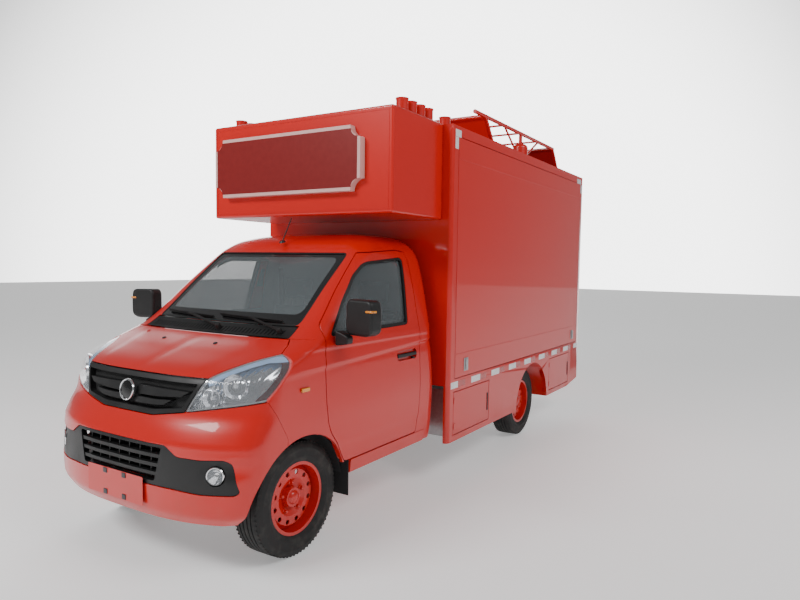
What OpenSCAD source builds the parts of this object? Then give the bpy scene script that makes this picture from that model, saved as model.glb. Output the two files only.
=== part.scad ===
// Small sales truck: a cab on a ladder frame with a hollow sales box behind it.
// Forward is -Y, the driver's side is +X, up is +Z. The origin is on the ground under the truck's middle.
// Modules are drawn from the front axle (Y = 0 there) and moved back to the origin by `from_axle`.

/* [Overall] */
// Distance between the front and rear axles
wheelbase = 2900; // [2500:10:3400]
// From the front axle forward to the nose
front_overhang = 580; // [580:5:620]
// From the rear axle back to the rear bumper's face
rear_overhang = 1360; // [1280:5:1600]

/* [Sales box] */
// Width over the box's sides
box_w = 1680; // [1640:10:2000]
// From the front axle back to the box's front face
box_front = 1335; // [1330:5:1400]
// Height of the box's roof above the ground
box_top = 2466; // [2200:5:2700]
// Thickness of the walls, roof, flaps and doors
wall = 40; // [25:1:60]
// Height of the load floor's top above the ground
floor_top = 730; // [700:5:800]
// Height of the skirts' lower edge above the ground
skirt_bottom = 290; // [250:5:320]
// Gap around every door, flap and lid
gap = 5; // [5:0.5:10]
// Length of each under-floor locker's door
locker_l = 590; // [400:10:620]

/* [Sign box] */
// Width of the box over the cab roof
luton_w = 1530; // [1300:10:1640]
// From the front axle back to the sign box's front face
luton_front = 726; // [600:5:900]
// Height of its underside above the ground
luton_bottom = 1831; // [1800:1:1900]
// Width of the blank sign board
sign_w = 1262; // [800:2:1300]
// Height of the blank sign board
sign_h = 397; // [250:1:420]
// How far the sign board is off the centre line
sign_shift = -70; // [-100:5:100]

/* [Wheels] */
// Outer diameter of a tyre
tyre_d = 600; // [560:5:620]
// Width of a tyre
tyre_w = 175; // [145:1:185]
// Diameter of a rim's flange
rim_d = 384; // [360:1:392]
// Distance between the front wheels' middle planes
front_track = 1218; // [1200:2:1260]
// Distance between the rear wheels' middle planes
rear_track = 1320; // [1260:2:1340]
// Radius of the wheel spindles
spindle_r = 20; // [15:0.5:25]

/* [Frame] */
// Width over the frame rails
frame_w = 700; // [640:5:710]
// Width of one rail
rail_w = 50; // [40:1:60]
// Height of one rail
rail_h = 90; // [70:1:100]

/* [Cab] */
// Thickness of the doors and pillars
door_t = 50; // [35:1:60]
// Thickness of the glass
glass_t = 5; // [3:0.5:8]

/* [Hidden] */
$fn = 64;
paint = "#d8261a";
black = "#202124";
steel = "#6f7378";

// Lengths along the truck, measured back from the front axle
bumper_out = 19;
axle_y = (front_overhang - wheelbase - rear_overhang) / 2;
box_rear = wheelbase + rear_overhang - bumper_out;
axle_z = tyre_d / 2;
box_x = box_w / 2;
box_in = box_x - wall;
frame_x = frame_w / 2;
frame_z = 360;
floor_t = 40;
floor_z = floor_top - floor_t;

// The side flap's hole in the box's side
flap_y0 = box_front + 90;
flap_y1 = box_rear - 68;
flap_z0 = floor_top;
flap_z1 = box_top - 74;

// The rear doors' hole
rear_x = box_in - 12;

// Lockers under the floor
locker_z0 = 332;
locker_z1 = 643;
locker_in = 560;
locker_front_y = box_front + 72;
locker_rear_y = wheelbase + 452;
locker_door_t = 25;
tray_t = 12;

// Rear wheel arches
arch_r = 375;
arch_y = wheelbase + 30;
arch_z = 280;
liner_t = 8;

// Front wheel arches: the wheel turns inside a round well, and the wing's opening is further forward
well_r = 345;
well_in = 365;
front_arch_r = 352;
front_arch_y = -40;
kingpin_x = 530;
ball_z = 130;
bar_r = 28;

frame_start = -370;
gearbox_y = 650;
damper_top = 600;
stud_r = 12;
spring_x = 395;
rear_hub = 590;
rim_r = 178;
rim_w = 134;
vent_r = 13;
vent_at = 130;
fog_r = 40;
plate_hole_x = 150;
plate_hole_y = 108;
plate_hole_r = 10;
plate_w = 440;
plate_h = 140;
plate_z = 418;
eye_x = 180;
eye_t = 16;
eye_r = 14;
hub_r = 50;
drum_r = 120;
lip_x = rim_w / 2 + 4;
luton_t = 25;
sign_z = 1968;
sign_t = 50;
sign_notch = 75;
rack_x = 640;
rack_y = [2052, 3846];
rack_lean_y = [2240, 3831];
rack_mid_y = 2988;
rack_lean = 200;
rack_h = 255;
rack_r = 16;
sheet_t = 4;

// The cab's shape, one row per height: [height, half width, nose, bow of the front at bow_x, rear]
cab_rows = [
    [290, 690, -535, 90, 1262], [350, 742, -564, 85, 1262], [500, 762, -570, 87, 1262],
    [620, 768, -568, 92, 1262], [720, 770, -534, 95, 1262], [800, 769, -494, 94, 1262],
    [870, 767, -478, 93, 1262], [950, 762, -452, 89, 1262], [985, 757, -405, 86, 1262],
    [1058, 748, -210, 70, 1262], [1122, 738, -20, 45, 1262], [1165, 730, 55, 45, 1262],
    [1400, 683, 335, 45, 1262], [1560, 640, 530, 45, 1255], [1610, 612, 590, 48, 1250],
    [1668, 540, 690, 55, 1240], [1705, 430, 850, 40, 1200], [1722, 250, 1000, 10, 1150]];
drawn_overhang = 580;
roof_from = 1500;
bow_x = 600;
corner_x = 100;
corner_y = 150;
belt_row = 10;

// The doors and their windows, seen from the side
door_side = [[303, 430], [235, 540], [170, 620], [143, 680], [133, 805], [141, 1068], [165, 1180],
    [311, 1340], [454, 1478], [535, 1551], [610, 1585], [1000, 1612], [1100, 1600],
    [1110, 1400], [1095, 1071], [1052, 430]];
window_side = [[190, 1132], [356, 1320], [499, 1458], [590, 1520], [640, 1538], [1005, 1569], [1030, 1550],
    [971, 1141]];
door_depth = [[1000, 400], [690, 400], [690, 1127], [640, 1330], [588, 1560], [560, 1660], [1000, 1660]];
door_hinge = [772, 134];
door_reach = 962;
window_in = 18;

// The nose pieces, seen from the front, the side and above
lamp_front = [[392, 806], [470, 962], [509, 994], [555, 1022], [596, 1046], [656, 1069], [820, 1069],
    [820, 880], [748, 867], [630, 845], [516, 827]];
lamp_side = [[-620, 760], [-620, 1100], [-93, 1100], [-93, 1066], [-104, 1038], [-137, 997], [-285, 867],
    [-330, 760]];
grille_front = [[387, 806], [465, 960]];
intake_front = [[249, 458], [389, 456], [539, 445], [690, 448], [708, 463], [671, 590], [646, 609],
    [535, 604], [417, 609], [345, 655]];
bonnet_plan = [[430, -700], [470, -390], [541, -263], [596, -170], [656, -95], [629, -21], [592, 34]];
screen_front = [[574, 1182], [541, 1588]];
cowl_front = [[588, 1128], [576, 1177]];
bonnet_z = 966;
seam_side = [[-700, 250], [-300, 250], [-167, 500], [-167, 666], [-276, 855], [-290, 875], [-700, 875]];
shell_t = 45;
wing_t = 20;
bumper_t = 40;
lamp_t = 90;
bonnet_t = 25;
sill_z = [345, 424];
sill_y = [362, 1165];
cab_floor_z = 475;
firewall_y = 106;
firewall_x = 715;

function mirrored(half) = concat(half, [for (i = [len(half) - 1:-1:0]) [-half[i].x, half[i].y]]);
function bezier(a, b, c, d, t) =
    pow(1 - t, 3) * a + 3 * pow(1 - t, 2) * t * b + 3 * (1 - t) * t * t * c + pow(t, 3) * d;

// Half of one row's outline at a depth t under the skin, from the nose to the middle of the rear wall
function half_row(row, t) =
    let (w = row[1] - t, nose = row[2] + t + drawn_overhang - front_overhang, rear = row[4] - t,
        cx = min(corner_x, 0.35 * w), cy = corner_y * min(1, w / bow_x), x0 = w - cx,
        y0 = nose + row[3] * pow(x0 / bow_x, 3), slope = 3 * row[3] * pow(x0, 2) / pow(bow_x, 3))
    concat(
        [for (i = [0:4]) [x0 * i / 4, nose + row[3] * pow(x0 * i / 4 / bow_x, 3)]],
        [for (u = [0.25:0.25:1])
            [bezier(x0, x0 + cx / 2, w, w, u), bezier(y0, y0 + cx / 2 * slope, y0 + 0.45 * cy, y0 + cy, u)]],
        [[w, rear - 40], [w - 12, rear - 12], [w - 40, rear]]);
function ring(row, t) =
    let (half = half_row(row, t), sink = row[0] < 300 ? 0.2 : max(0, min(1, (row[0] - roof_from) / 150)),
        z = row[0] - t * sink)
    concat([for (p = half) [p.x, p.y, z]], [for (i = [len(half) - 1:-1:1]) [-half[i].x, half[i].y, z]]);

// The cab's solid body at a depth t under its skin, between two of its rows
module cab_body(t = 0, first = 0, last = len(cab_rows) - 1) {
    rings = [for (i = [first:last]) ring(cab_rows[i], t)];
    n = len(rings[0]);
    m = len(rings);
    polyhedron(
        points = [for (r = rings) each r],
        faces = concat(
            [[for (j = [0:n - 1]) j]],
            [[for (j = [n - 1:-1:0]) (m - 1) * n + j]],
            [for (i = [0:m - 2], j = [0:n - 1]) each
                [[i * n + j, (i + 1) * n + j, (i + 1) * n + (j + 1) % n],
                [i * n + j, (i + 1) * n + (j + 1) % n, i * n + (j + 1) % n]]]));
}
// The layer between two depths under the skin; the inner body runs on past both ends of the outer one
module cab_skin(from, to, first, last) {
    difference() {
        cab_body(from, first, last);
        cab_body(to, max(0, first - 1), min(len(cab_rows) - 1, last + 1));
    }
}
module from_side(x0, x1) { translate([x0, 0, 0]) rotate([90, 0, 90]) linear_extrude(x1 - x0) children(); }
module from_front(y0, y1) { translate([0, y1, 0]) rotate([90, 0, 0]) linear_extrude(y1 - y0) children(); }
module block(low, high) { translate(low) cube(high - low); }
module both() { children(); mirror([1, 0, 0]) children(); }
module placed() { translate([0, axle_y, 0]) children(); }
module rod(a, b, r) {
    run = b - a;
    translate(a) rotate([0, acos(run.z / norm(run)), atan2(run.y, run.x)]) cylinder(r = r, h = norm(run));
}
module across(r, x0, x1) { translate([x0, 0, 0]) rotate([0, 90, 0]) cylinder(r = r, h = x1 - x0); }
module rounded(w, h, r) {
    translate([r, 0]) square([w - 2 * r, h]);
    translate([0, r]) square([w, h - 2 * r]);
    for (x = [r, w - r], y = [r, h - r]) translate([x, y]) circle(r);
}

// Chassis
module frame_rails() { color("#2b2c2e") placed() both()
    block([frame_x - rail_w, frame_start, frame_z], [frame_x, box_rear - 50, frame_z + rail_h]); }
module crossmembers() { color("#2b2c2e") placed() {
    for (y = [frame_start, 760, box_front, (box_front + wheelbase) / 2, wheelbase + 420, box_rear - 150])
        block([rail_w - frame_x, y, frame_z + 30], [frame_x - rail_w, y + 50, frame_z + rail_h]);
    translate([eye_x, frame_start + 25, 325]) tow_eye(70);
} }
module engine_block() { color("#4a4c50") placed() {
    block([-230, -310, frame_z + 10], [230, firewall_y - 15, 870]);
    block([-110, 40, 265], [110, gearbox_y, cab_floor_z - 35]);
} }
module driveshaft() { color("#3a3c40") placed()
    rod([0, gearbox_y + 2, 345], [0, wheelbase - 152, axle_z], 32); }
module exhaust() { color("#7b7a76") placed() translate([180, 0, 315]) {
    rotate([-90, 0, 0]) translate([0, 0, 140]) cylinder(r = 22, h = 2400);
    rotate([-90, 0, 0]) translate([0, 0, box_front + 165]) cylinder(r = 72, h = 480);
} }
module fuel_tank() { color("#2f3134") placed() translate([-540, box_front + 115, 340])
    rotate([90, 0, 90]) linear_extrude(170) rounded(750, 220, 35); }
module front_suspension() { color("#35373a") placed() {
    block([-frame_x + 10, -55, 150], [frame_x - 10, 55, 215]);
    translate([0, 70, 240]) across(20, 10 - frame_x, frame_x - 10);
    both() difference() {
        union() {
            block([frame_x - rail_w, -55, 150], [frame_x - 10, 55, frame_z]);
            for (arm = [[frame_x - 12, axle_z - ball_z], [frame_x, axle_z + ball_z]]) {
                block([arm[0], -26, arm[1] - 15], [kingpin_x, 26, arm[1] + 15]);
                translate([kingpin_x, 0, arm[1] - 18]) cylinder(r = bar_r, h = 36);
            }
            block([395, 0, axle_z - ball_z - 15], [445, 85, axle_z - ball_z + 15]);
            translate([424, 62, axle_z - ball_z]) cylinder(r = 20, h = damper_top - axle_z + ball_z);
            block([frame_x - rail_w, 40, damper_top - 15], [446, 85, damper_top]);
            block([frame_x - rail_w, 40, frame_z + rail_h], [frame_x - rail_w + 12, 85, damper_top]);
        }
        translate([kingpin_x, 0, 0]) cylinder(r = stud_r + 0.3, h = 2 * axle_z);
    }
} }
module knuckle() { color("#55585c") placed() {
    block([kingpin_x - 15, -20, axle_z - ball_z + 24], [kingpin_x + 15, 20, axle_z + ball_z - 24]);
    translate([kingpin_x, 0, axle_z - ball_z - 18]) cylinder(r = stud_r, h = 2 * ball_z + 36);
    translate([0, 0, axle_z]) across(spindle_r, kingpin_x, front_track / 2 + 30);
    block([kingpin_x - 32, 0, 232], [kingpin_x - 8, 85, 250]);
} }
module rear_axle() { color("#35373a") placed() translate([0, wheelbase, axle_z]) {
    across(38, -rear_hub, rear_hub);
    across(spindle_r, -rear_track / 2 - 30, rear_track / 2 + 30);
    rotate([90, 0, 0]) cylinder(r = 112, h = 130, center = true);
    rotate([90, 0, 0]) cylinder(r = 48, h = 150);
    both() {
        across(120, rear_hub - 8, rear_hub);
        block([spring_x, -30, 0], [spring_x + 60, 30, 38]);
    }
} }
module leaf_springs() {
    rise = 70;
    half = 550;
    radius = (half * half + rise * rise) / (2 * rise);
    swing = asin(half / radius);
    leaf = [for (a = [-swing:swing / 10:swing]) [sin(a), -cos(a)]];
    color("#2b2c2e") placed() both() {
        translate([0, wheelbase, axle_z + 38 + radius]) from_side(spring_x, spring_x + 60)
            polygon(concat(leaf * radius, [for (i = [len(leaf) - 1:-1:0]) leaf[i] * (radius - 24)]));
        for (y = [wheelbase - half - 20, wheelbase + half - 20])
            block([frame_x, y, frame_z + 40], [spring_x + 60, y + 40, frame_z + rail_h + 10]);
    }
}
module half_pipe(y, z, r, t, x0, x1, base) {
    intersection() {
        translate([0, y, z]) difference() {
            across(r + t, x0, x1);
            across(r, x0 - 1, x1 + 1);
        }
        block([x0, y - 2 * r, base], [x1, y + 2 * r, z + 2 * r]);
    }
}
module wheel_liners() { color("#3a1512") placed() both() {
    half_pipe(0, axle_z, well_r, 5, well_in, 690, sill_z[0]);
    half_pipe(arch_y, arch_z, arch_r, liner_t, 545, box_in, skirt_bottom);
    block([600, 355, 215], [735, 361, 420]);
} }
module wheel_wells() { both() {
    translate([0, 0, axle_z]) across(well_r + 8, well_in - 5, 700);
    translate([0, front_arch_y, axle_z]) across(front_arch_r, 699, 900);
} }

// Wheels are drawn about their own centre, with the outside at +X
module tyre() { color("#1b1b1c") rotate([0, 90, 0]) rotate_extrude($fn = 96) {
    translate([rim_d / 2 + 0.5, -tyre_w / 2]) rounded((tyre_d - rim_d) / 2 - 0.5, tyre_w, 26);
    translate([rim_r + 0.3, 5 - rim_w / 2]) square([40, rim_w - 10]);
} }
module rim() { color(paint) difference() {
    rotate([0, 90, 0]) rotate_extrude($fn = 96) polygon([
        [0, 36], [spindle_r + 0.05, 36], [spindle_r + 0.05, -52], [hub_r, -52], [hub_r, -40], [drum_r, -40],
        [drum_r, -28], [hub_r, -28], [hub_r, -5], [102, 26], [144, 26], [rim_r - 5, -3], [rim_r - 5, -lip_x],
        [rim_d / 2, -lip_x], [rim_d / 2, 8 - lip_x], [rim_r, 8 - lip_x], [rim_r, lip_x - 8],
        [rim_d / 2, lip_x - 8], [rim_d / 2, lip_x], [rim_r - 5, lip_x], [rim_r - 5, 6], [146, 34], [100, 34],
        [hub_r, 4], [hub_r, 44], [40, 44], [40, 46], [0, 46]]);
    for (a = [15:30:359]) rotate([a, 0, 0]) translate([0, 0, vent_at]) across(vent_r, 10, 60);
} }
module front_wheel_at() { placed() translate([front_track / 2, 0, axle_z]) children(); }
module rear_wheel_at() { placed() translate([rear_track / 2, wheelbase, axle_z]) children(); }
module right() { mirror([1, 0, 0]) children(); }

// Cab
module cab_floor() { color(paint) placed() {
    difference() {
        union() {
            block([-640, firewall_y, cab_floor_z - 25], [640, 1217, cab_floor_z]);
            block([-firewall_x, firewall_y, cab_floor_z - 25], [firewall_x, firewall_y + 20, 1095]);
        }
        wheel_wells();
    }
    both() intersection() {
        cab_body(0, 0, 3);
        union() {
            block([640, sill_y[0], sill_z[0]], [900, sill_y[1], sill_z[1]]);
            block([640, sill_y[0], sill_z[0]], [690, sill_y[1], cab_floor_z]);
        }
    }
} }
// The space that a door fills: its outline, its depth, and at the back an arc about its hinge line
module door_hole(extra) {
    reach = door_reach + extra;
    intersection() {
        from_side(400, 900) offset(delta = extra) polygon(door_side);
        from_front(0, 1300) offset(delta = extra) polygon(door_depth);
        linear_extrude(2000) translate(door_hinge)
            polygon(concat([[200, -400], [-600, -400]], [for (a = [35:-2.5:-10]) reach * [-sin(a), cos(a)]]));
    }
}
module cab_shell() { color(paint) placed() difference() {
    intersection() {
        cab_skin(0, shell_t, 1, len(cab_rows) - 1);
        from_side(-900, 900) polygon([[-200, 1126], [-200, 1800], [1400, 1800], [1400, 352], [sill_y[1], 352],
            [sill_y[1], sill_z[1]], [1045, sill_z[1]], [1045, 1126]]);
    }
    both() door_hole(gap);
    block([-frame_x - gap, 1000, 0], [frame_x + gap, 1400, cab_floor_z - 25]);
    from_front(-100, 900) polygon(mirrored(screen_front));
    from_front(-100, 900) polygon(mirrored([[593, 1100], cowl_front[1] + [3, 7]]));
} }
module bonnet_volume(extra) { translate([0, 0, bonnet_z - extra]) linear_extrude(200)
    offset(delta = extra) polygon(mirrored(bonnet_plan)); }
module lamp_volume(extra) { intersection() {
    from_front(-700, 0) offset(delta = extra) polygon(lamp_front);
    from_side(300, 900) offset(delta = extra) polygon(lamp_side);
} }
module grille_volume(extra) { from_front(-700, -300) offset(delta = extra)
    polygon(concat(mirrored(grille_front), [[-195, 777], [195, 777]])); }
module intake_volume(extra) { from_front(-700, -300) offset(delta = extra) polygon(mirrored(intake_front)); }
module hood() { color(paint) placed() intersection() {
    difference() {
        cab_body(0, 7, belt_row);
        translate([0, 0, -bonnet_t]) cab_body(0, 6, belt_row + 1);
    }
    bonnet_volume(0);
} }
module fenders() { color(paint) placed() both() difference() {
    intersection() {
        cab_skin(0, wing_t, 1, belt_row);
        block([300, -310, sill_z[1] + 2], [900, 320, 1126]);
    }
    bonnet_volume(gap);
    lamp_volume(gap);
    door_hole(gap);
    from_side(300, 900) offset(delta = 2) polygon(seam_side);
    translate([0, front_arch_y, axle_z]) across(front_arch_r, 300, 900);
    block([0, 303, 0], [900, 500, 2000]);
} }
module front_bumper() { color(paint) placed() difference() {
    intersection() {
        cab_skin(0, bumper_t, 0, 6);
        from_side(-900, 900) polygon(seam_side);
    }
    both() lamp_volume(gap);
    grille_volume(gap);
    intake_volume(gap);
    both() translate([0, front_arch_y, axle_z]) across(front_arch_r, 640, 900);
    both() block([0, -400, 0], [640, 0, 2000]);
} }
module grilles() { color(black) placed() {
    intersection() {
        cab_skin(6, bumper_t, 4, 8);
        grille_volume(0);
    }
    difference() {
        intersection() {
            cab_skin(6, bumper_t, 1, 4);
            intake_volume(0);
        }
        both() fog_place() cylinder(r = fog_r + 2, h = 200, center = true);
    }
} }
module front_lamps() { color("#dfe6ea") placed() both() {
    difference() {
        intersection() {
            cab_skin(0, lamp_t, 5, belt_row);
            lamp_volume(0);
        }
        bonnet_volume(2 * gap);
    }
    fog_place() cylinder(r = fog_r, h = 60, center = true);
} }
module fog_place() { translate([604, -470, 535]) rotate([90, 0, 28]) children(); }
module plate_panel() { color(paint) placed() translate([0, -front_overhang, plate_z]) {
    rotate([-90, 0, 0]) difference() {
        translate([-plate_w / 2, -plate_h / 2, 0]) linear_extrude(6) rounded(plate_w, plate_h, 6);
        for (x = [-plate_hole_x / 2, plate_hole_x / 2], y = [-plate_hole_y / 2, plate_hole_y / 2])
            translate([x, y, -1]) cylinder(r = plate_hole_r, h = 8);
    }
    both() block([plate_w / 2 - 60, 6, -30], [plate_w / 2 - 30, 14, 30]);
} }
module cowl() { color(black) placed() intersection() {
    cab_skin(0, wing_t, belt_row, belt_row + 2);
    from_front(-100, 300) polygon(mirrored(cowl_front));
} }
module windscreen() { color("#9fb4bd", 0.4) placed() intersection() {
    cab_skin(8, 8 + glass_t, belt_row + 1, belt_row + 4);
    from_front(0, 760) offset(delta = -1) polygon(mirrored(screen_front));
} }
module dash_volume() { from_side(-600, 600)
    polygon([[firewall_y + 20, 930], [firewall_y + 20, 1105], [200, 1115], [330, 1090], [430, 1040],
        [440, 960], [400, 900]]); }
module dashboard() { color(black) placed() dash_volume(); }
module steering_wheel() { color(black) placed() difference() {
    translate([350, 560, 1010]) rotate([-60, 0, 0]) {
        rotate_extrude() translate([185, 0]) circle(13, $fn = 24);
        for (a = [90, 210, 330]) rotate([0, 0, a]) translate([0, -18, -8]) cube([180, 36, 12]);
        cylinder(r = 62, h = 40, center = true);
        translate([0, 0, -190]) cylinder(r = 30, h = 180);
    }
    dash_volume();
} }
module seat() {
    block([-235, 700, cab_floor_z], [235, 1120, 570]);
    from_side(-240, 240) polygon([[660, 570], [660, 680], [700, 700], [1010, 690], [1085, 1240], [1110, 1250],
        [1160, 1240], [1175, 1200], [1120, 680], [1100, 570]]);
    from_side(-130, 130) polygon([[1105, 1235], [1110, 1400], [1135, 1425], [1185, 1410], [1165, 1235]]);
}
module seats() { color("#3b3c40") placed() both() translate([340, 0, 0]) seat(); }
module windowed_door() { difference() {
    intersection() {
        cab_skin(0, door_t, 1, 15);
        door_hole(0);
    }
    from_side(400, 900) polygon(window_side);
} }
module door_glass() { intersection() {
    cab_skin(window_in, window_in + glass_t, belt_row, 14);
    door_hole(0);
    from_side(400, 900) offset(delta = -0.5) polygon(window_side);
} }
module mirror_head() { placed() {
    translate([800, 235, 1140]) rotate([0, 0, -8]) rotate([90, 0, 0]) translate([0, 0, -85])
        linear_extrude(85) rounded(195, 195, 45);
    block([757, 200, 1085], [820, 260, 1165]);
} }

// Sales box
module box_floor() { color(steel) placed()
    block([-box_in, box_front + wall, floor_z], [box_in, box_rear - wall, floor_top]); }
module box_roof() { color(paint) placed()
    block([-box_x, box_front, box_top - wall], [box_x, box_rear, box_top]); }
module box_front_wall() { color(paint) placed() {
    block([-box_x, box_front, floor_top], [box_x, box_front + wall, box_top - wall]);
    block([-box_in, box_front, floor_z], [box_in, box_front + wall, floor_top + 1]);
} }
module box_posts() { color(paint) placed() both() {
    block([box_in, box_front + wall, floor_top], [box_x, flap_y0 - gap, box_top - wall]);
    block([box_in, flap_y1 + gap, floor_top], [box_x, box_rear, box_top - wall]);
} }
module box_rails() { color(paint) placed() {
    both() block([box_in, flap_y0 - gap, flap_z1 + gap], [box_x, flap_y1 + gap, box_top - wall]);
    block([-box_in, box_rear - wall, flap_z1 + gap], [box_in, box_rear, box_top - wall]);
} }
module skirt_outline() { polygon([[box_front, floor_top], [box_front, skirt_bottom],
    [box_rear - 342, skirt_bottom], [box_rear, skirt_bottom + 46], [box_rear, floor_top]]); }
module side_skirts() { color(paint) placed() both() difference() {
    from_side(box_in, box_x) skirt_outline();
    translate([0, arch_y, arch_z]) across(arch_r, box_in - 1, box_x + 1);
    for (y = [locker_front_y, locker_rear_y])
        block([box_in - 1, y, locker_z0], [box_x + 1, y + locker_l, locker_z1]);
} }
module lockers() { color(steel) placed() both() for (y = [locker_front_y, locker_rear_y]) difference() {
    block([locker_in, y - tray_t, locker_z0 - tray_t], [box_in, y + locker_l + tray_t, locker_z1 + tray_t]);
    block([locker_in + tray_t, y, locker_z0], [box_in + 1, y + locker_l, locker_z1]);
} }
module luton() { color(paint) placed() difference() {
    block([-luton_w / 2, luton_front, luton_bottom], [luton_w / 2, box_front, box_top + 6]);
    block([luton_t - luton_w / 2, luton_front + luton_t, luton_bottom + luton_t],
        [luton_w / 2 - luton_t, box_front + 1, box_top + 6 - luton_t]);
} }
module sign_board() { color("#a51512") placed() translate([sign_shift - sign_w / 2, luton_front, sign_z])
    rotate([90, 0, 0]) linear_extrude(sign_t) difference() {
        square([sign_w, sign_h]);
        for (x = [0, sign_w], y = [0, sign_h]) translate([x, y]) circle(sign_notch);
    } }
module roof_frame() { color("#b3231b") placed() translate([0, 0, box_top]) intersection() {
    block([-box_x, 0, 0], [box_x, box_rear, rack_h + rack_r]);
    union() {
        both() {
            rod([rack_x, rack_y[0], rack_h], [rack_x, rack_y[1], rack_h], rack_r);
            rod([rack_x, rack_mid_y, 0], [rack_x, rack_mid_y, rack_h], rack_r);
            for (y = rack_lean_y)
                rod([rack_x, y + 1.1 * rack_lean, -0.1 * rack_h], [rack_x, y, rack_h], rack_r);
        }
        for (y = rack_lean_y) {
            rod([-rack_x, y, rack_h], [rack_x, y, rack_h], rack_r);
            from_side(-rack_x, rack_x) polygon([[y, rack_h], [y + rack_lean, 0], [y + rack_lean + sheet_t, 0],
                [y + sheet_t, rack_h]]);
        }
    }
} }
module lamp_pots() { color(paint) placed() both() {
    for (i = [0:3]) translate([700, 921 + 102 * i, box_top + 6]) cylinder(r = 42, h = 80);
    translate([700, 1468, box_top]) cylinder(r = 42, h = 80);
} }
module tail_lamps() { color("#c3241d") placed() both()
    block([box_in - 90, box_rear, 470], [box_in + 10, box_rear + 18, 640]); }
module rear_bumper() { color(black) placed() {
    block([-box_in, box_rear - 45, 350], [box_in, box_rear + bumper_out, 430]);
    both() block([frame_x - rail_w, box_rear - 50, frame_z], [frame_x, box_rear - 44, 430]);
    translate([eye_x, box_rear - 30, 318]) tow_eye(36);
} }
module tow_eye(height) { difference() {
    translate([0, -25, -25]) cube([eye_t, 50, 25 + height]);
    across(eye_r, -1, eye_t + 1);
} }
module flap() { color(paint) placed() block([box_in, flap_y0, flap_z0 + gap], [box_x, flap_y1, flap_z1]); }
module rear_door() { color(paint) placed()
    block([gap / 2, box_rear - wall, floor_top + gap], [rear_x, box_rear, flap_z1]); }
module locker_door(y) { color(paint) placed()
    block([box_x - locker_door_t, y + gap, locker_z0 + gap], [box_x, y + locker_l - gap, locker_z1 - gap]); }

// Each node, drawn when its name is asked for
frame_rails();
crossmembers();
engine_block();
driveshaft();
exhaust();
fuel_tank();
front_suspension();
rear_axle();
leaf_springs();
wheel_liners();
cab_floor();
cab_shell();
fenders();
front_bumper();
grilles();
front_lamps();
plate_panel();
cowl();
windscreen();
dashboard();
steering_wheel();
seats();
box_floor();
box_roof();
box_front_wall();
box_posts();
box_rails();
side_skirts();
lockers();
luton();
sign_board();
roof_frame();
lamp_pots();
tail_lamps();
rear_bumper();
hood();
color(paint) placed() windowed_door();  // door_left
color(paint) placed() right() windowed_door();  // door_right
color("#9fb4bd", 0.4) placed() door_glass();  // glass_left
color("#9fb4bd", 0.4) placed() right() door_glass();  // glass_right
color(black) mirror_head();  // mirror_left
color(black) right() mirror_head();  // mirror_right
flap();  // flap_left
right() flap();  // flap_right
rear_door();  // rear_door_left
right() rear_door();  // rear_door_right
locker_door(locker_front_y);  // locker_door_front_left
right() locker_door(locker_front_y);  // locker_door_front_right
locker_door(locker_rear_y);  // locker_door_rear_left
right() locker_door(locker_rear_y);  // locker_door_rear_right
knuckle();  // knuckle_left
right() knuckle();  // knuckle_right
front_wheel_at() rim();  // rim_front_left
right() front_wheel_at() rim();  // rim_front_right
rear_wheel_at() rim();  // rim_rear_left
right() rear_wheel_at() rim();  // rim_rear_right
front_wheel_at() tyre();  // tyre_front_left
right() front_wheel_at() tyre();  // tyre_front_right
rear_wheel_at() tyre();  // tyre_rear_left
right() rear_wheel_at() tyre();  // tyre_rear_right
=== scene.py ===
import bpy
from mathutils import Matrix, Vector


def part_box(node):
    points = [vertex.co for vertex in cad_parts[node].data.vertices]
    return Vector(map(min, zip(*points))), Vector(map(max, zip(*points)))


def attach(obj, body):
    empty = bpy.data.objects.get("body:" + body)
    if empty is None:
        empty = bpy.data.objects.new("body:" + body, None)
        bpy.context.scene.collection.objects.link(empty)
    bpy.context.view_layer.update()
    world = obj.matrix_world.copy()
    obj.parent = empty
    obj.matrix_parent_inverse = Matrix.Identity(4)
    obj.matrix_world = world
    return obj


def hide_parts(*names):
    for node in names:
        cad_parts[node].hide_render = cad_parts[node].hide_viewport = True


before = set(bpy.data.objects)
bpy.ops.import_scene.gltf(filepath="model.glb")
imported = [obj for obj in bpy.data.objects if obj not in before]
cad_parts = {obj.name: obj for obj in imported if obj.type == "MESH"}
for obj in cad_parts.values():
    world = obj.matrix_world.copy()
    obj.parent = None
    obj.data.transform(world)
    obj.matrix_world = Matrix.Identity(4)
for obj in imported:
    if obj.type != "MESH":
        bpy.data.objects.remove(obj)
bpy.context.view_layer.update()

import math

import bmesh
import bpy
import numpy as np
from mathutils import Matrix, Vector

# The camera stands ahead of the truck on the driver's side, at the height of a standing person's eyes, and is
# turned 30.8 degrees towards the nose, a little down, with a slight tilt.
turn, dip, tilt = math.radians(30.8), math.radians(3.8), math.radians(0.9)
ahead = Vector((-math.sin(turn) * math.cos(dip), math.cos(turn) * math.cos(dip), -math.sin(dip)))
level = ahead.cross(Vector((0, 0, 1))).normalized()
upward = level.cross(ahead)
lens_right = level * math.cos(tilt) + upward * math.sin(tilt)
lens_up = lens_right.cross(ahead)
camera_data = bpy.data.cameras.new("camera")
camera_data.lens = 28.38
camera_data.sensor_width = 36
camera_data.shift_x = -0.0291
camera_data.shift_y = 0.0083
camera = bpy.data.objects.new("camera", camera_data)
camera.matrix_world = Matrix((
    (lens_right.x, lens_up.x, -ahead.x, 2.8732),
    (lens_right.y, lens_up.y, -ahead.y, -4.2702),
    (lens_right.z, lens_up.z, -ahead.z, 1.5232),
    (0, 0, 0, 1)))
bpy.context.collection.objects.link(camera)
bpy.context.scene.camera = camera


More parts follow.
